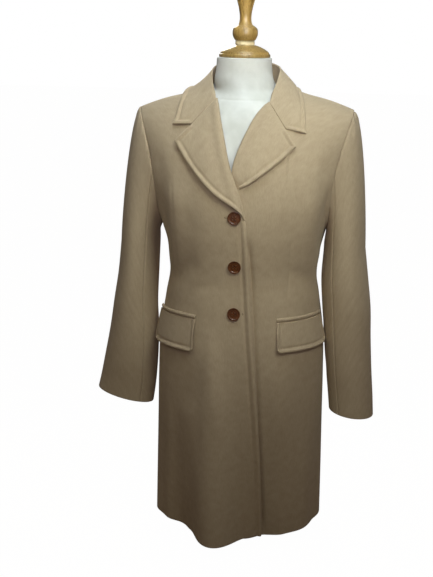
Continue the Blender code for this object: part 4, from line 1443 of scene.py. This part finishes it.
@dataclass
class Collar:
    """Collar of one piece: a stand, a fold and a leaf that ends at the notches."""

    block: Block
    wall: float = 0.003
    bulge: dict[Side, float] = field(default_factory=lambda: {Side.RIGHT: -0.013, Side.LEFT: 0.008})
    lean: float = 0.004
    clear: float = 0.0014
    gorge_share: float = 0.60
    gorge_gap: float = 0.0005
    stations: int = 10
    stand_points: int = 10
    long_rows: int = 170
    leaf_length: float = 0.075
    leaf_step: float = 0.0024
    soft_from: float = 0.012
    fold_soft: float = 0.0040
    end_stand: float = 0.0010
    seam_stand: float = 0.0020
    seam_reach: float = 0.005
    gorge_top: dict[Side, tuple[float, float]] = field(default_factory=lambda: {
        Side.RIGHT: (-0.0430, 0.8800), Side.LEFT: (0.0530, 0.8770)})
    notch: dict[Side, tuple[float, float]] = field(default_factory=lambda: {
        Side.RIGHT: (-0.0876, 0.8353), Side.LEFT: (0.0862, 0.8310)})
    corner: dict[Side, tuple[float, float]] = field(default_factory=lambda: {
        Side.RIGHT: (-0.1225, 0.8325), Side.LEFT: (0.1210, 0.8232)})
    sizes: Table = field(default_factory=lambda: table(
        "station foot_x foot_y foot_z roll_x roll_y roll_z edge_x edge_y edge_z",
        (0.0, 0.0, 0.057, 0.905, 0.0, 0.066, 0.949, 0.0, 0.086, 0.88),
        (0.17, 0.033, 0.05, 0.906, 0.035, 0.058, 0.948, 0.046, 0.078, 0.8815),
        (0.34, 0.055, 0.03, 0.9055, 0.0535, 0.034, 0.945, 0.084, 0.05, 0.889),
        (0.5, 0.0655, 0.008, 0.905, 0.0615, 0.009, 0.939, 0.104, 0.012, 0.897),
        (0.62, 0.0665, -0.012, 0.9045, 0.062, -0.014, 0.93, 0.111, -0.019, 0.8935),
        (0.75, 0.06, -0.036, 0.9, 0.0585, -0.04, 0.914, 0.1165, -0.045, 0.878),
        (0.88, 0.052, -0.056, 0.89, 0.0525, -0.06, 0.896, 0.12, -0.0685, 0.8545)))

    def line(self, name: str, station: float) -> Array:
        """Point of one of the collar's lines at a station from the centre back."""
        return np.array([along(self.sizes, "station", f"{name}_{axis}", np.array(station)) for axis in "xyz"])

    def leaf_shares(self) -> Array:
        """Shares of the way down the leaf, closer at its edge, with one at the notch.

        Returns:
            Shares from the fold to the edge.
        """
        down = spaced(self.leaf_length, self.leaf_step, (0.0,), RIM_START)[1:]
        down[np.argmin(np.abs(down - self.gorge_share))] = self.gorge_share
        return down

    def end_row(self, side: Side, leaf: Array) -> Array:
        """Points of a front end: along the gorge seam to the notch, then free to the corner.

        Args:
            side: Wearer's side.
            leaf: Shares of the way down the leaf.

        Returns:
            Points of the row.
        """
        top, notch, corner = (np.array(spot[side]) for spot in (self.gorge_top, self.notch, self.corner))
        stand = top - np.array([0.0, self.gorge_gap]) * np.linspace(0.5, 0.0, self.stand_points)[:, None]
        seam = top + (notch - top) * (leaf / self.gorge_share)[:, None]
        free = notch + (corner - notch) * ((leaf - self.gorge_share) / (1 - self.gorge_share))[:, None]
        places = np.concatenate([stand, np.where((leaf <= self.gorge_share)[:, None], seam, free)])
        places = places + np.array([0.0, self.gorge_gap])
        past = np.clip((leaf - self.gorge_share) / (1 - self.gorge_share), 0.0, 1.0)
        lifted = self.seam_stand * leaf ** 2 + self.end_stand * past
        rise = np.concatenate([np.linspace(-self.wall / 3, 0.0, self.stand_points), lifted])
        out = self.block.lay_gap * 2 + self.wall + rise
        return self.block.on_front(side, places[:, 0], places[:, 1], out)

    def half(self, side: Side, leaf: Array) -> Array:
        """Rows of one half from the centre back to the front end.

        Args:
            side: Wearer's side.
            leaf: Shares of the way down the leaf.

        Returns:
            Points, rows by columns.
        """
        rows = []
        for station in np.linspace(0.0, self.sizes["station"][-1], self.stations):
            foot, roll, edge = (self.line(name, station) for name in ("foot", "roll", "edge"))
            high = (roll + edge) / 2 + np.array([0.0, 0.0, self.bulge[side]])
            stand = foot + (roll - foot) * np.linspace(0.0, 1.0, self.stand_points)[:, None]
            t = leaf[:, None]
            fall = (1 - t) ** 2 * roll + 2 * t * (1 - t) * high + t * t * edge
            row = np.concatenate([stand, fall]) * (side.sign, 1, 1)
            row[:self.stand_points, 0] += self.lean
            row[self.stand_points:, 0] += self.lean * (1 - leaf) ** 2
            rows.append(row)
        end = self.end_row(side, leaf)
        return np.array([*rows, (rows[-1] + end) / 2, end])

    def push_out(self, points: Array, spare: float) -> Array:
        """Move points so that they stay a distance outside the shoulders, upper fronts and backs.

        Args:
            points: Points, one row each.
            spare: Least distance to keep.

        Returns:
            The moved points.
        """
        block = self.block
        rise = np.sin(np.linspace(0.35, np.pi / 2 - 0.002, 80))
        level = block.underarm + (block.tip - block.underarm) * rise
        turns, levels = np.meshgrid(np.linspace(0.15, np.pi - 0.05, 90), level)
        moved = points.copy()
        for side in Side:
            spots = block.point(side, turns, levels).reshape(-1, 3)
            normals = block.normal(side, turns, levels).reshape(-1, 3)
            own = np.flatnonzero(side.sign * (moved[:, 0] - block.shift) > 0)
            for index in own:
                near = np.argmin(((spots - moved[index]) ** 2).sum(-1))
                out = (moved[index] - spots[near]) @ normals[near]
                need = spare + float(block.lap(side, moved[index, 0], moved[index, 2]))
                moved[index] += normals[near] * max(need - out, 0.0)
        return moved

    def grid(self) -> Array:
        """Points of the showing side from the right front end round the neck to the left one.

        Returns:
            Points, rows by columns.
        """
        leaf = self.leaf_shares()
        coarse = np.concatenate([self.half(Side.RIGHT, leaf)[::-1], self.half(Side.LEFT, leaf)[1:]])
        walk = run_lengths(coarse[:, self.stand_points:].mean(axis=1)[:, None], 0)[:, 0]
        length = float(walk[-1])
        rows = spaced(length, length / self.long_rows, RIM_START, RIM_START) * length
        outer = through(walk, coarse, rows)
        leaf_part = outer[:, self.stand_points:]
        pushed = self.push_out(leaf_part.reshape(-1, 3), self.wall + self.clear)
        outer[:, self.stand_points:] = pushed.reshape(leaf_part.shape)
        run = run_lengths(outer, 1)
        soft = outer.copy()
        for i, row in enumerate(outer):
            weight = bell(run[i][:, None] - run[i][None, :], self.fold_soft)
            weight = weight * np.gradient(run[i])[None, :]
            near_end = ease(np.minimum(run[i], run[i][-1] - run[i]) / self.soft_from)[:, None]
            soft[i] = row * (1 - near_end) + (weight @ row) / weight.sum(1, keepdims=True) * near_end
        normals = -wall_way(soft, len(soft) // 2, -1, Face.BACK)
        run = run_lengths(soft, 1)
        walked = run_lengths(soft, 0)
        to_end = np.minimum(walked, walked[-1:] - walked)
        share = np.concatenate([np.zeros(self.stand_points), leaf])
        to_free = np.where(share > self.gorge_share, np.minimum(run[:, -1:] - run, to_end), run[:, -1:] - run)
        return soft + normals * COLLAR_RIM.out(to_free)[..., None]

    def build(self, wool: Material) -> None:
        """Make and dress the collar.

        Args:
            wool: Material of the cloth.
        """
        outer = self.grid()
        walked = run_lengths(outer, 0)
        share = np.concatenate([np.zeros(self.stand_points), self.leaf_shares()])
        sewn = (np.minimum(walked, walked[-1:] - walked) < self.seam_reach) & (share <= self.gorge_share)
        sew("collar", outer, self.wall, wool,
            wall_way(outer, len(outer) // 2, -1, Face.BACK), sewn)


@dataclass
class Pockets:
    """Flap pockets, each with a narrow welt above its flap."""

    block: Block
    jet_top: float = 0.4873
    jet_height: float = 0.0090
    jet_wall: float = 0.0020
    jet_plump: float = 0.0023
    flap_top: float = 0.4780
    flap_bottom: dict[Side, float] = field(default_factory=lambda: {Side.RIGHT: 0.4145, Side.LEFT: 0.4200})
    drop: dict[Side, float] = field(default_factory=lambda: {Side.RIGHT: 0.010, Side.LEFT: 0.007})
    flap_wall: float = 0.0030
    flap_stand: float = 0.0045
    end_stand: float = 0.0018
    start_x: float = 0.0745
    end_turn: float = 1.40
    corner: float = 0.009
    spread: float = 0.02
    length: float = 0.145
    stand_power: float = 1.3
    end_from: float = 0.4
    end_width: float = 0.012
    step: float = 0.0022

    def turns(self, side: Side, z: float, shares: Array) -> Array:
        """Turns of a pocket from its front end to its end near the side.

        Args:
            side: Wearer's side.
            z: Height.
            shares: Shares of the pocket's length.

        Returns:
            Turns round the body.
        """
        x = self.block.shift + side.sign * self.start_x
        first = float(self.block.front_place(side, np.array(x), np.array(z))[0])
        return first + (self.end_turn - first) * shares

    def lay(self, side: Side, turns: Array, levels: Array, out: Array) -> Array:
        """Points a distance out from the front at turns and levels.

        Args:
            side: Wearer's side.
            turns: Turns round the body.
            levels: Section levels.
            out: Distance out.

        Returns:
            Points in the part's frame.
        """
        block = self.block
        base = block.point(side, turns, levels)
        x, z = base[..., 0], base[..., 2]
        full = out + block.lap(side, x, z) + block.crease_out(side, Face.FRONT, x, z)
        return base + block.normal(side, turns, levels) * full[..., None]

    def jet(self, side: Side) -> Array:
        """Points of the showing side of a welt, plump across.

        Args:
            side: Wearer's side.

        Returns:
            Points, rows by columns.
        """
        down = np.concatenate([[0.0, 0.05, 0.12], np.linspace(0.2, 0.8, 7), [0.88, 0.95, 1.0]])
        share = spaced(self.length, self.step, EDGE_START, EDGE_START)
        turn = self.turns(side, self.jet_top, share)
        turns, levels = np.meshgrid(turn, self.jet_top - self.jet_height * down)
        levels = levels - self.drop[side] * share ** 2
        plump = self.jet_plump * np.sin(np.pi * down)[:, None]
        return self.lay(side, turns, levels, self.block.lay_gap + self.jet_wall + plump)

    def flap(self, side: Side) -> Array:
        """Points of the showing side of a flap, with rounded lower corners and a stitched rim.

        Args:
            side: Wearer's side.

        Returns:
            Points, rows by columns.
        """
        share = spaced(self.length, self.step, RIM_START, RIM_START)
        turn = self.turns(side, self.flap_top, share)
        height = self.flap_top - self.flap_bottom[side]
        down = spaced(height, self.step, EDGE_START, RIM_START)[:, None]
        width = turn[-1] - turn[0]
        arc = float(self.block.half_width(np.array(self.flap_top)))
        from_end = np.minimum(turn - turn[0], turn[-1] - turn) * arc
        round_off = np.clip(1 - from_end / self.corner, 0.0, 1.0)
        bottom = self.flap_bottom[side] + self.corner * (1 - np.sqrt(1 - round_off ** 2))
        turns = turn + (2 * share - 1) * self.spread * width * down
        levels = self.flap_top + (bottom - self.flap_top) * down - self.drop[side] * share ** 2
        out = self.block.lay_gap + self.flap_stand * down ** self.stand_power + self.flap_wall
        out = out + self.end_stand * ease(down / self.end_from) * bell(share * self.length, self.end_width)
        plain = self.lay(side, turns, levels, out)
        run, fall = run_lengths(plain, 1), run_lengths(plain, 0)
        to_free = np.minimum(np.minimum(run, run[:, -1:] - run), fall[-1:] - fall)
        return self.lay(side, turns, levels, out + FLAP_RIM.out(to_free))

    def build(self, wool: Material) -> None:
        """Make and dress the welts and flaps.

        Args:
            wool: Material of the cloth.
        """
        for side in Side:
            for name, grid, wall in (("jet", self.jet(side), self.jet_wall),
                                     ("flap", self.flap(side), self.flap_wall)):
                sew(f"{name}_{side.word}", grid, wall, wool,
                    wall_way(grid, 0, 0, Face.FRONT))


def edit(piece: Object, kind: str = "FACE") -> None:
    """Open a piece in edit mode with one kind of selection and nothing selected.

    Args:
        piece: Object to work on.
        kind: VERT, EDGE or FACE.
    """
    bpy.ops.object.select_all(action="DESELECT")
    piece.select_set(True)
    bpy.context.view_layer.objects.active = piece
    bpy.ops.object.mode_set(mode="EDIT")
    bpy.ops.mesh.select_mode(type=kind)
    bpy.ops.mesh.select_all(action="DESELECT")
    bpy.ops.object.mode_set(mode="OBJECT")


def pick_faces(piece: Object, low: float, up: float) -> None:
    """Open edit mode on the faces that look up (1) or down (-1) past a height.

    Args:
        piece: Object to work on.
        low: Height past which faces count.
        up: 1 for faces that look up, -1 for down.
    """
    for face in piece.data.polygons:
        face.select = face.normal.z * up > 0.9 and face.center.z * up > low * up
    bpy.ops.object.mode_set(mode="EDIT")


def begin(name: str, primitive: Callable, **settings: object) -> Object:
    """Add a primitive with nothing else selected.

    Args:
        name: Piece name.
        primitive: Operator that adds it.
        settings: Its sizes and place.

    Returns:
        The named object.
    """
    bpy.ops.object.select_all(action="DESELECT")
    primitive(**settings)
    made = bpy.context.object
    made.name = name
    made.data.name = name
    return made


def settle(piece: Object, place: Matrix | None = None) -> Object:
    """Apply a piece's modifiers and place, so that its object sits at the origin.

    Args:
        piece: Object to work on.
        place: Move and turn to give it.

    Returns:
        The same object.
    """
    bpy.ops.object.select_all(action="DESELECT")
    piece.select_set(True)
    bpy.context.view_layer.objects.active = piece
    for modifier in list(piece.modifiers):
        bpy.ops.object.modifier_apply(modifier=modifier.name)
    if place is not None:
        piece.matrix_world = place @ piece.matrix_world
    bpy.ops.object.transform_apply(location=True, rotation=True, scale=True)
    return piece


@dataclass
class Buttons:
    """Three four-hole buttons with their threads and worked buttonholes on the right front."""

    block: Block
    radius: float = 0.0127
    height: float = 0.0042
    rim: float = 0.0020
    dish: float = 0.0013
    hole_radius: float = 0.00115
    hole_at: float = 0.0026
    thread_radius: float = 0.00045
    places: tuple[float, ...] = (0.001, 0.003, 0.0035)
    heights: tuple[float, ...] = (0.678, 0.587, 0.496)
    slits: tuple[tuple[float, float], ...] = ((-0.0175, 0.0105), (-0.0105, 0.0105), (-0.0105, 0.0165))
    slit_width: float = 0.0011
    slit_cord: float = 0.0005
    slit_eye: float = 1.25
    body_share: float = 0.97
    floor_share: float = 0.30
    back_share: float = 0.80
    bevel: float = 0.0005

    def place(self, number: int) -> Matrix:
        """Place of a button: its underside's centre, with Z along the front's outward way.

        Args:
            number: Number of the button from the top.

        Returns:
            Move and turn of the button.
        """
        low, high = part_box(f"button_{number}")
        turn, level = self.block.front_place(Side.RIGHT, np.array(self.places[number - 1]),
                                              np.array(self.heights[number - 1]))
        outward = Vector(self.block.normal(Side.RIGHT, turn, level))
        turned = outward.to_track_quat("Z", "Y").to_matrix().to_4x4()
        return Matrix.Translation((low + high) / 2 - outward * self.height / 2) @ turned

    def disc(self, name: str) -> Object:
        """Turned disc with a raised rim, a dished middle and a tapered back.

        Args:
            name: Piece name.

        Returns:
            The disc at the origin.
        """
        piece = begin(name, bpy.ops.mesh.primitive_cylinder_add, vertices=56, depth=self.height,
                      radius=self.radius * self.body_share, location=(0.0, 0.0, self.height / 2))
        bpy.ops.object.transform_apply(location=True)
        edit(piece)
        pick_faces(piece, self.height * 0.9, 1)
        bpy.ops.mesh.inset(thickness=self.rim, depth=0.0)
        bpy.ops.mesh.inset(thickness=self.dish, depth=-self.dish)
        bpy.ops.mesh.inset(thickness=self.radius * self.floor_share, depth=self.dish * 0.25)
        bpy.ops.object.mode_set(mode="OBJECT")
        edit(piece)
        pick_faces(piece, self.height * 0.1, -1)
        bpy.ops.transform.resize(value=(self.back_share, self.back_share, 1.0),
                                 center_override=(0.0, 0.0, 0.0))
        bpy.ops.object.mode_set(mode="OBJECT")
        soften = piece.modifiers.new("soft_edges", "BEVEL")
        soften.width = self.bevel
        soften.segments = 3
        soften.limit_method = "ANGLE"
        soften.angle_limit = math.radians(25)
        settle(piece)
        for x in (-1, 1):
            for y in (-1, 1):
                drill = begin("drill", bpy.ops.mesh.primitive_cylinder_add, vertices=20,
                              radius=self.hole_radius, depth=self.height * 4,
                              location=(x * self.hole_at, y * self.hole_at, 0.0))
                cut = piece.modifiers.new("hole", "BOOLEAN")
                cut.operation = "DIFFERENCE"
                cut.solver = "EXACT"
                cut.object = drill
                settle(piece)
                bpy.data.objects.remove(drill, do_unlink=True)
        bpy.ops.object.shade_smooth_by_angle(angle=math.radians(30))
        return piece

    def threads(self, name: str) -> Object:
        """Two bars of thread between the holes.

        Args:
            name: Piece name.

        Returns:
            The threads at the origin.
        """
        bars = []
        for y in (-1, 1):
            line = begin("bar", bpy.ops.curve.primitive_bezier_curve_add).data
            line.bevel_depth = self.thread_radius
            line.bevel_resolution = 3
            line.resolution_u = 10
            line.use_fill_caps = True
            top = self.height - self.dish * 0.75
            for point, x in zip(line.splines[0].bezier_points, (-1, 1)):
                point.co = (x * self.hole_at, y * self.hole_at, top - self.height * 0.45)
                point.handle_left = (x * self.hole_at * 1.05, y * self.hole_at, top + self.height * 0.35)
                point.handle_right = point.handle_left
            bpy.ops.object.convert(target="MESH")
            bars.append(bpy.context.object)
        bpy.ops.object.select_all(action="DESELECT")
        for bar in bars:
            bar.select_set(True)
        bpy.context.view_layer.objects.active = bars[0]
        piece = bars[0]
        bpy.ops.object.join()
        piece.name = name
        piece.data.name = name
        bpy.ops.object.shade_smooth()
        return piece

    def buttonhole(self, name: str, number: int) -> Object:
        """Worked keyhole buttonhole: a cord of stitches round a slit, with a wider eye at the edge side.

        Args:
            name: Piece name.
            number: Number of the button from the top.

        Returns:
            The buttonhole on the front.
        """
        piece = begin(name, bpy.ops.mesh.primitive_torus_add, major_segments=48, minor_segments=8,
                      major_radius=self.slit_width, minor_radius=self.slit_cord)
        edit(piece, "VERT")
        for end in (-1, 1):
            for corner in piece.data.vertices:
                corner.select = corner.co.x * end > 1e-6
            bpy.ops.object.mode_set(mode="EDIT")
            reach = self.slits[number - 1][end > 0] - end * self.slit_width
            bpy.ops.transform.translate(value=(reach, 0.0, 0.0))
            if end > 0:
                bpy.ops.transform.resize(value=(self.slit_eye, self.slit_eye, 1.0),
                                         center_override=(reach, 0.0, 0.0))
            bpy.ops.mesh.select_all(action="DESELECT")
            bpy.ops.object.mode_set(mode="OBJECT")
        bpy.ops.object.shade_smooth()
        z = self.heights[number - 1]
        for corner in piece.data.vertices:
            x = np.array(corner.co.x + self.places[number - 1])
            up, out = np.array(z + corner.co.y), np.array(corner.co.z)
            corner.co = Vector(self.block.on_front(Side.RIGHT, x, up, out))
        return piece

    def build(self, horn: Material, thread: Material) -> None:
        """Make and dress the buttons.

        Args:
            horn: Material of the buttons.
            thread: Material of the threads.
        """
        for number in range(1, len(self.heights) + 1):
            place = self.place(number)
            disc = settle(self.disc(f"horn_button_{number}"), place)
            dress(disc, horn, "button_horn", f"button_{number}")
            dress(settle(self.threads(f"button_thread_{number}"), place), thread, "button_horn")
            dress(self.buttonhole(f"buttonhole_{number}", number), thread, "coat_wool")


@dataclass
class DressForm:
    """Padded torso and neck of the form, covered in jersey."""

    block: Block
    clear: float = 0.0032
    bottom: float = 0.270
    neck_back: float = -0.006
    shift_from: float = 0.875
    shift_over: float = 0.050
    blend: float = 8.0
    around: int = 128
    seam_height: float = 0.8815
    seam_depth: float = 0.0009
    seam_width: float = 0.0016
    fine_from: float = 0.80
    low_rings: int = 54
    high_rings: int = 110
    cap_inset: float = 0.02
    cap_point: float = 0.001
    weld: float = 0.0003
    sizes: Table = field(default_factory=lambda: table(
        "z half_width front back neck",
        (0.27, 0.128, 0.105, 0.1, 0.0),
        (0.34, 0.14, 0.125, 0.112, 0.0),
        (0.42, 0.141, 0.128, 0.11, 0.0),
        (0.5, 0.129, 0.12, 0.098, 0.0),
        (0.558, 0.122, 0.114, 0.09, 0.0),
        (0.62, 0.132, 0.126, 0.094, 0.0),
        (0.68, 0.148, 0.14, 0.098, 0.0),
        (0.74, 0.158, 0.14, 0.102, 0.0),
        (0.79, 0.166, 0.14, 0.102, 0.0),
        (0.83, 0.17, 0.14, 0.102, 0.03),
        (0.85, 0.165, 0.14, 0.102, 0.05),
        (0.862, 0.155, 0.14, 0.102, 0.055),
        (0.874, 0.136, 0.14, 0.102, 0.0585),
        (0.884, 0.108, 0.14, 0.102, 0.059),
        (0.893, 0.084, 0.14, 0.102, 0.0585),
        (0.902, 0.064, 0.14, 0.102, 0.0578),
        (0.914, 0.0565, 0.14, 0.102, 0.0565),
        (0.93, 0.0535, 0.14, 0.102, 0.0535),
        (0.956, 0.0515, 0.14, 0.102, 0.0515)))

    def ring(self, z: float) -> Array:
        """Points of the form's section at a height.

        Args:
            z: Height.

        Returns:
            Points of the ring.
        """
        block = self.block
        swing = np.linspace(0.0, 2 * np.pi, self.around, endpoint=False)
        half_width, front, back, radius = (
            along(self.sizes, "z", name, np.array(z)) for name in ("half_width", "front", "back", "neck"))
        x = half_width * np.sin(swing)
        rise = (z - block.underarm) / (block.shoulder_height(x) - self.clear - block.underarm)
        rise = np.clip(rise, 0.0, 1.0)
        swell = np.abs(np.cos(swing))
        neck = np.sqrt(np.maximum(radius ** 2 - x ** 2, 0.0))
        reach = []
        for depth, power, way in ((front, block.front_roll, -1), (back, block.back_roll, 1)):
            trunk = depth * np.sqrt(1 - rise ** power) * swell
            own = np.maximum(neck + way * self.neck_back * (neck > 0), 0.0)
            reach.append((trunk ** self.blend + own ** self.blend) ** (1 / self.blend))
        y = np.where(np.cos(swing) >= 0, -reach[0], reach[1])
        shift = block.shift * (1 - ease((z - self.shift_from) / self.shift_over))
        ring = np.stack([x + shift, y, np.full(self.around, z)], -1)
        inward = unit(ring.mean(axis=0) - ring)
        return ring + inward * (self.seam_depth * bell(z - self.seam_height, self.seam_width))

    def build(self, jersey: Material) -> None:
        """Make and dress the torso.

        Args:
            jersey: Material of the cover.
        """
        low = np.linspace(self.bottom, self.fine_from, self.low_rings)
        high = np.linspace(self.fine_from, self.sizes["z"][-1], self.high_rings)[1:]
        rings = np.array([self.ring(float(z)) for z in np.concatenate([low, high])])
        ends = []
        for ring in (rings[0], rings[-1]):
            middle = ring.mean(axis=0)
            ends.append([middle + (ring - middle) * share for share in (self.cap_point, 1 - self.cap_inset)])
        rows = np.concatenate([ends[0], rings, ends[1][::-1]])
        closed = np.concatenate([rows, rows[:, :1]], axis=1)
        piece = mesh_object("jersey_torso", closed.reshape(-1, 3), grid_quads(*closed.shape[:2]))
        edit(piece, "VERT")
        bpy.ops.object.mode_set(mode="EDIT")
        bpy.ops.mesh.select_all(action="SELECT")
        bpy.ops.mesh.remove_doubles(threshold=self.weld)
        bpy.ops.mesh.normals_make_consistent(inside=False)
        bpy.ops.object.mode_set(mode="OBJECT")
        dress(piece, jersey, "form_cloth", "form_torso")


@dataclass
class Stand:
    """Turned neck cap, ring and finial on top of the form, and its pole and base."""

    segments: int = 72
    steps: int = 7
    profiles: dict[str, Table] = field(default_factory=lambda: {
        "neck_cap": table(
            "z r", (0.9563, 0.0465), (0.9568, 0.0477), (0.9580, 0.0483), (0.9610, 0.0483), (0.9624, 0.0476),
            (0.9632, 0.0464), (0.9665, 0.0445), (0.972, 0.0365), (0.9765, 0.0265), (0.9785, 0.0205)),
        "neck_ring": table(
            "z r", (0.9788, 0.0168), (0.9792, 0.0176), (0.9803, 0.0181), (0.9852, 0.0181), (0.9863, 0.0176),
            (0.9866, 0.0168)),
        "finial": table(
            "z r", (0.9869, 0.0178), (0.99, 0.0205), (0.996, 0.0232), (1.003, 0.0237), (1.009, 0.0222),
            (1.013, 0.0175), (1.016, 0.0132), (1.024, 0.011), (1.035, 0.0112), (1.048, 0.0135),
            (1.06, 0.0166), (1.072, 0.0184), (1.082, 0.017), (1.0875, 0.0125), (1.0905, 0.006)),
        "pole": table(
            "z r", (0.0183, 0.0118), (0.0190, 0.0125), (0.1400, 0.0125), (0.2690, 0.0125), (0.2697, 0.0118)),
        "base": table(
            "z r", (0.0, 0.0910), (0.0012, 0.0938), (0.003, 0.0950), (0.011, 0.0950), (0.0138, 0.0930),
            (0.0152, 0.0870), (0.0166, 0.0550), (0.018, 0.0300)),
    })

    def turn(self, name: str, profile: Table) -> Object:
        """Turn a piece: a disc is extruded up and resized step by step along its profile.

        Args:
            name: Piece name.
            profile: Heights and radii.

        Returns:
            The turned piece.
        """
        walk = np.arange(len(profile["z"]), dtype=float)
        at = np.linspace(0.0, walk[-1], (len(walk) - 1) * self.steps + 1)
        heights, radii = through(walk, profile["z"], at), through(walk, profile["r"], at)
        piece = begin(name, bpy.ops.mesh.primitive_circle_add, vertices=self.segments, fill_type="NGON",
                      radius=float(radii[0]), location=(0.0, 0.0, float(heights[0])))
        bpy.ops.object.transform_apply(location=True)
        bpy.ops.object.mode_set(mode="EDIT")
        bpy.ops.mesh.select_all(action="SELECT")
        for i in range(1, len(at)):
            bpy.ops.mesh.extrude_region_move(
                TRANSFORM_OT_translate={"value": (0.0, 0.0, float(heights[i] - heights[i - 1]))})
            grow = float(radii[i] / radii[i - 1])
            bpy.ops.transform.resize(value=(grow, grow, 1.0), center_override=(0.0, 0.0, float(heights[i])))
        bpy.ops.mesh.select_all(action="SELECT")
        bpy.ops.mesh.normals_make_consistent(inside=False)
        bpy.ops.object.mode_set(mode="OBJECT")
        bpy.ops.object.shade_smooth_by_angle(angle=math.radians(40))
        return piece

    def build(self, honey: Material, cream: Material) -> None:
        """Make and dress the turned pieces.

        Args:
            honey: Material of most turned pieces.
            cream: Material of the ring.
        """
        for node, profile in self.profiles.items():
            is_ring = node == "neck_ring"
            dress(self.turn(f"turned_{node}", profile), cream if is_ring else honey,
                  "cream_ring" if is_ring else "turned_wood", node)


@dataclass(frozen=True)
class Lamp:
    """Square soft light."""

    name: str
    place: tuple[float, float, float]
    aim: tuple[float, float, float]
    size: float
    power: float
    colour: Hex
    spread: float = 180.0


@dataclass
class Studio:
    """Camera, floor and soft light."""

    eye: tuple[float, float, float] = (0.1533, -1.8944, 1.016)
    yaw: float = 6.0
    tilt: float = 15.1
    roll: float = 1.0
    lens: float = 61.14
    floor_half: float = 14.0
    lamps: tuple[Lamp, ...] = (
        Lamp("overhead", (0.05, -0.30, 1.95), (0.03, -0.08, 0.80), 0.5, 9.3, "#dceeff"),
        Lamp("front", (0.15, -1.70, 1.25), (0.0, 0.0, 0.95), 0.5, 0.85, "#efeaff", 60.0),
        Lamp("neck", (0.25, -1.15, 1.25), (0.0, 0.0, 1.10), 0.2, 0.21, "#fffaf0", 14.0),
        Lamp("right", (0.42, -0.80, 1.35), (0.10, -0.10, 0.76), 0.4, 0.63, "#f4fff4", 60.0),
        Lamp("back", (-0.30, 1.35, 1.40), (0.0, 0.0, 0.60), 0.4, 1.7, "#fbf8f0", 70.0),
        Lamp("left", (-0.35, -1.10, 1.50), (-0.10, -0.10, 0.75), 0.4, 0.25, "#eaffd6", 70.0),
    )

    def camera(self) -> None:
        """Make the camera at the photograph's viewing angle."""
        yaw, tilt, roll = (math.radians(a) for a in (self.yaw, self.tilt, self.roll))
        ahead = Vector((-math.sin(yaw) * math.cos(tilt), math.cos(yaw) * math.cos(tilt), -math.sin(tilt)))
        level = Vector((math.cos(yaw), math.sin(yaw), 0.0))
        above = level.cross(ahead)
        right = level * math.cos(roll) + above * math.sin(roll)
        up = above * math.cos(roll) - level * math.sin(roll)
        data = bpy.data.cameras.new("camera")
        data.lens = self.lens
        data.sensor_width = 36.0
        made = bpy.data.objects.new("camera", data)
        made.matrix_world = Matrix.Translation(self.eye) @ Matrix((right, up, -ahead)).transposed().to_4x4()
        bpy.context.scene.collection.objects.link(made)
        bpy.context.scene.camera = made

    def floor(self) -> None:
        """Make the pale floor: a white sweep to the camera that throws a weak warm bounce on the cloth."""
        piece = begin("floor", bpy.ops.mesh.primitive_plane_add, size=2 * self.floor_half)
        made, tree, shader = blank("pale_floor")
        shader.inputs["Base Color"].default_value = to_linear("#6f6355")
        shader.inputs["Roughness"].default_value = 0.9
        seen = add(tree, "LightPath").outputs["Is Camera Ray"]
        glow = add(tree, "Emission", {"Color": (1.0, 1.0, 1.0, 1.0), "Strength": 1.1})
        share = add(tree, "Math", {"operation": "MULTIPLY", 1: 0.90}, {0: seen})
        mixed = add(tree, "MixShader", {}, {0: share.outputs["Value"], 1: shader.outputs["BSDF"],
                                            2: glow.outputs["Emission"]})
        tree.links.new(mixed.outputs["Shader"], tree.nodes["Material Output"].inputs["Surface"])
        piece.data.materials.append(made)

    def light(self) -> None:
        """Make the lamps and the pale surroundings."""
        for lamp in self.lamps:
            data = bpy.data.lights.new(lamp.name, "AREA")
            data.energy = lamp.power
            data.size = lamp.size
            data.spread = math.radians(lamp.spread)
            data.color = to_linear(lamp.colour)[:3]
            made = bpy.data.objects.new(lamp.name, data)
            way = Vector(lamp.aim) - Vector(lamp.place)
            turned = way.to_track_quat("-Z", "Y").to_matrix().to_4x4()
            made.matrix_world = Matrix.Translation(lamp.place) @ turned
            bpy.context.scene.collection.objects.link(made)
        world = bpy.data.worlds.new("studio")
        world.use_nodes = True
        tree = world.node_tree
        seen = add(tree, "LightPath").outputs["Is Camera Ray"]
        air = tree.nodes["Background"]
        air.inputs["Color"].default_value = to_linear("#ffe6de")
        air.inputs["Strength"].default_value = 0.125
        backdrop = add(tree, "Background", {"Color": (1.0, 1.0, 1.0, 1.0), "Strength": 1.0})
        mixed = add(tree, "MixShader", {}, {0: seen, 1: air.outputs["Background"],
                                            2: backdrop.outputs["Background"]})
        tree.links.new(mixed.outputs["Shader"], tree.nodes["World Output"].inputs["Surface"])
        bpy.context.scene.world = world
        bpy.context.scene.view_settings.view_transform = "Standard"


def main() -> None:
    """Build the studio, the form and the coat, piece by piece."""
    logging.basicConfig(level=logging.INFO, format="%(name)s %(message)s")
    studio = Studio()
    studio.camera()
    studio.floor()
    studio.light()
    block = Block()
    wool = MilledWool().make()
    horn = PolishedHorn().make()
    thread = SpunThread().make()
    BodyPanels(block).build(wool)
    Sleeves(block).build(wool)
    Lapels(block).build(wool)
    Collar(block).build(wool)
    Pockets(block).build(wool)
    Buttons(block).build(horn, thread)
    DressForm(block).build(KnitJersey().make())
    Stand().build(TurnedWood("honey_varnished_beech", "#7d6029", "#a98c50").make(),
                  TurnedWood("cream_painted_beech", "#cdbd90", "#e2d4ab", coat=0.15, roughness=0.5).make())


if __name__ == "__main__":
    main()
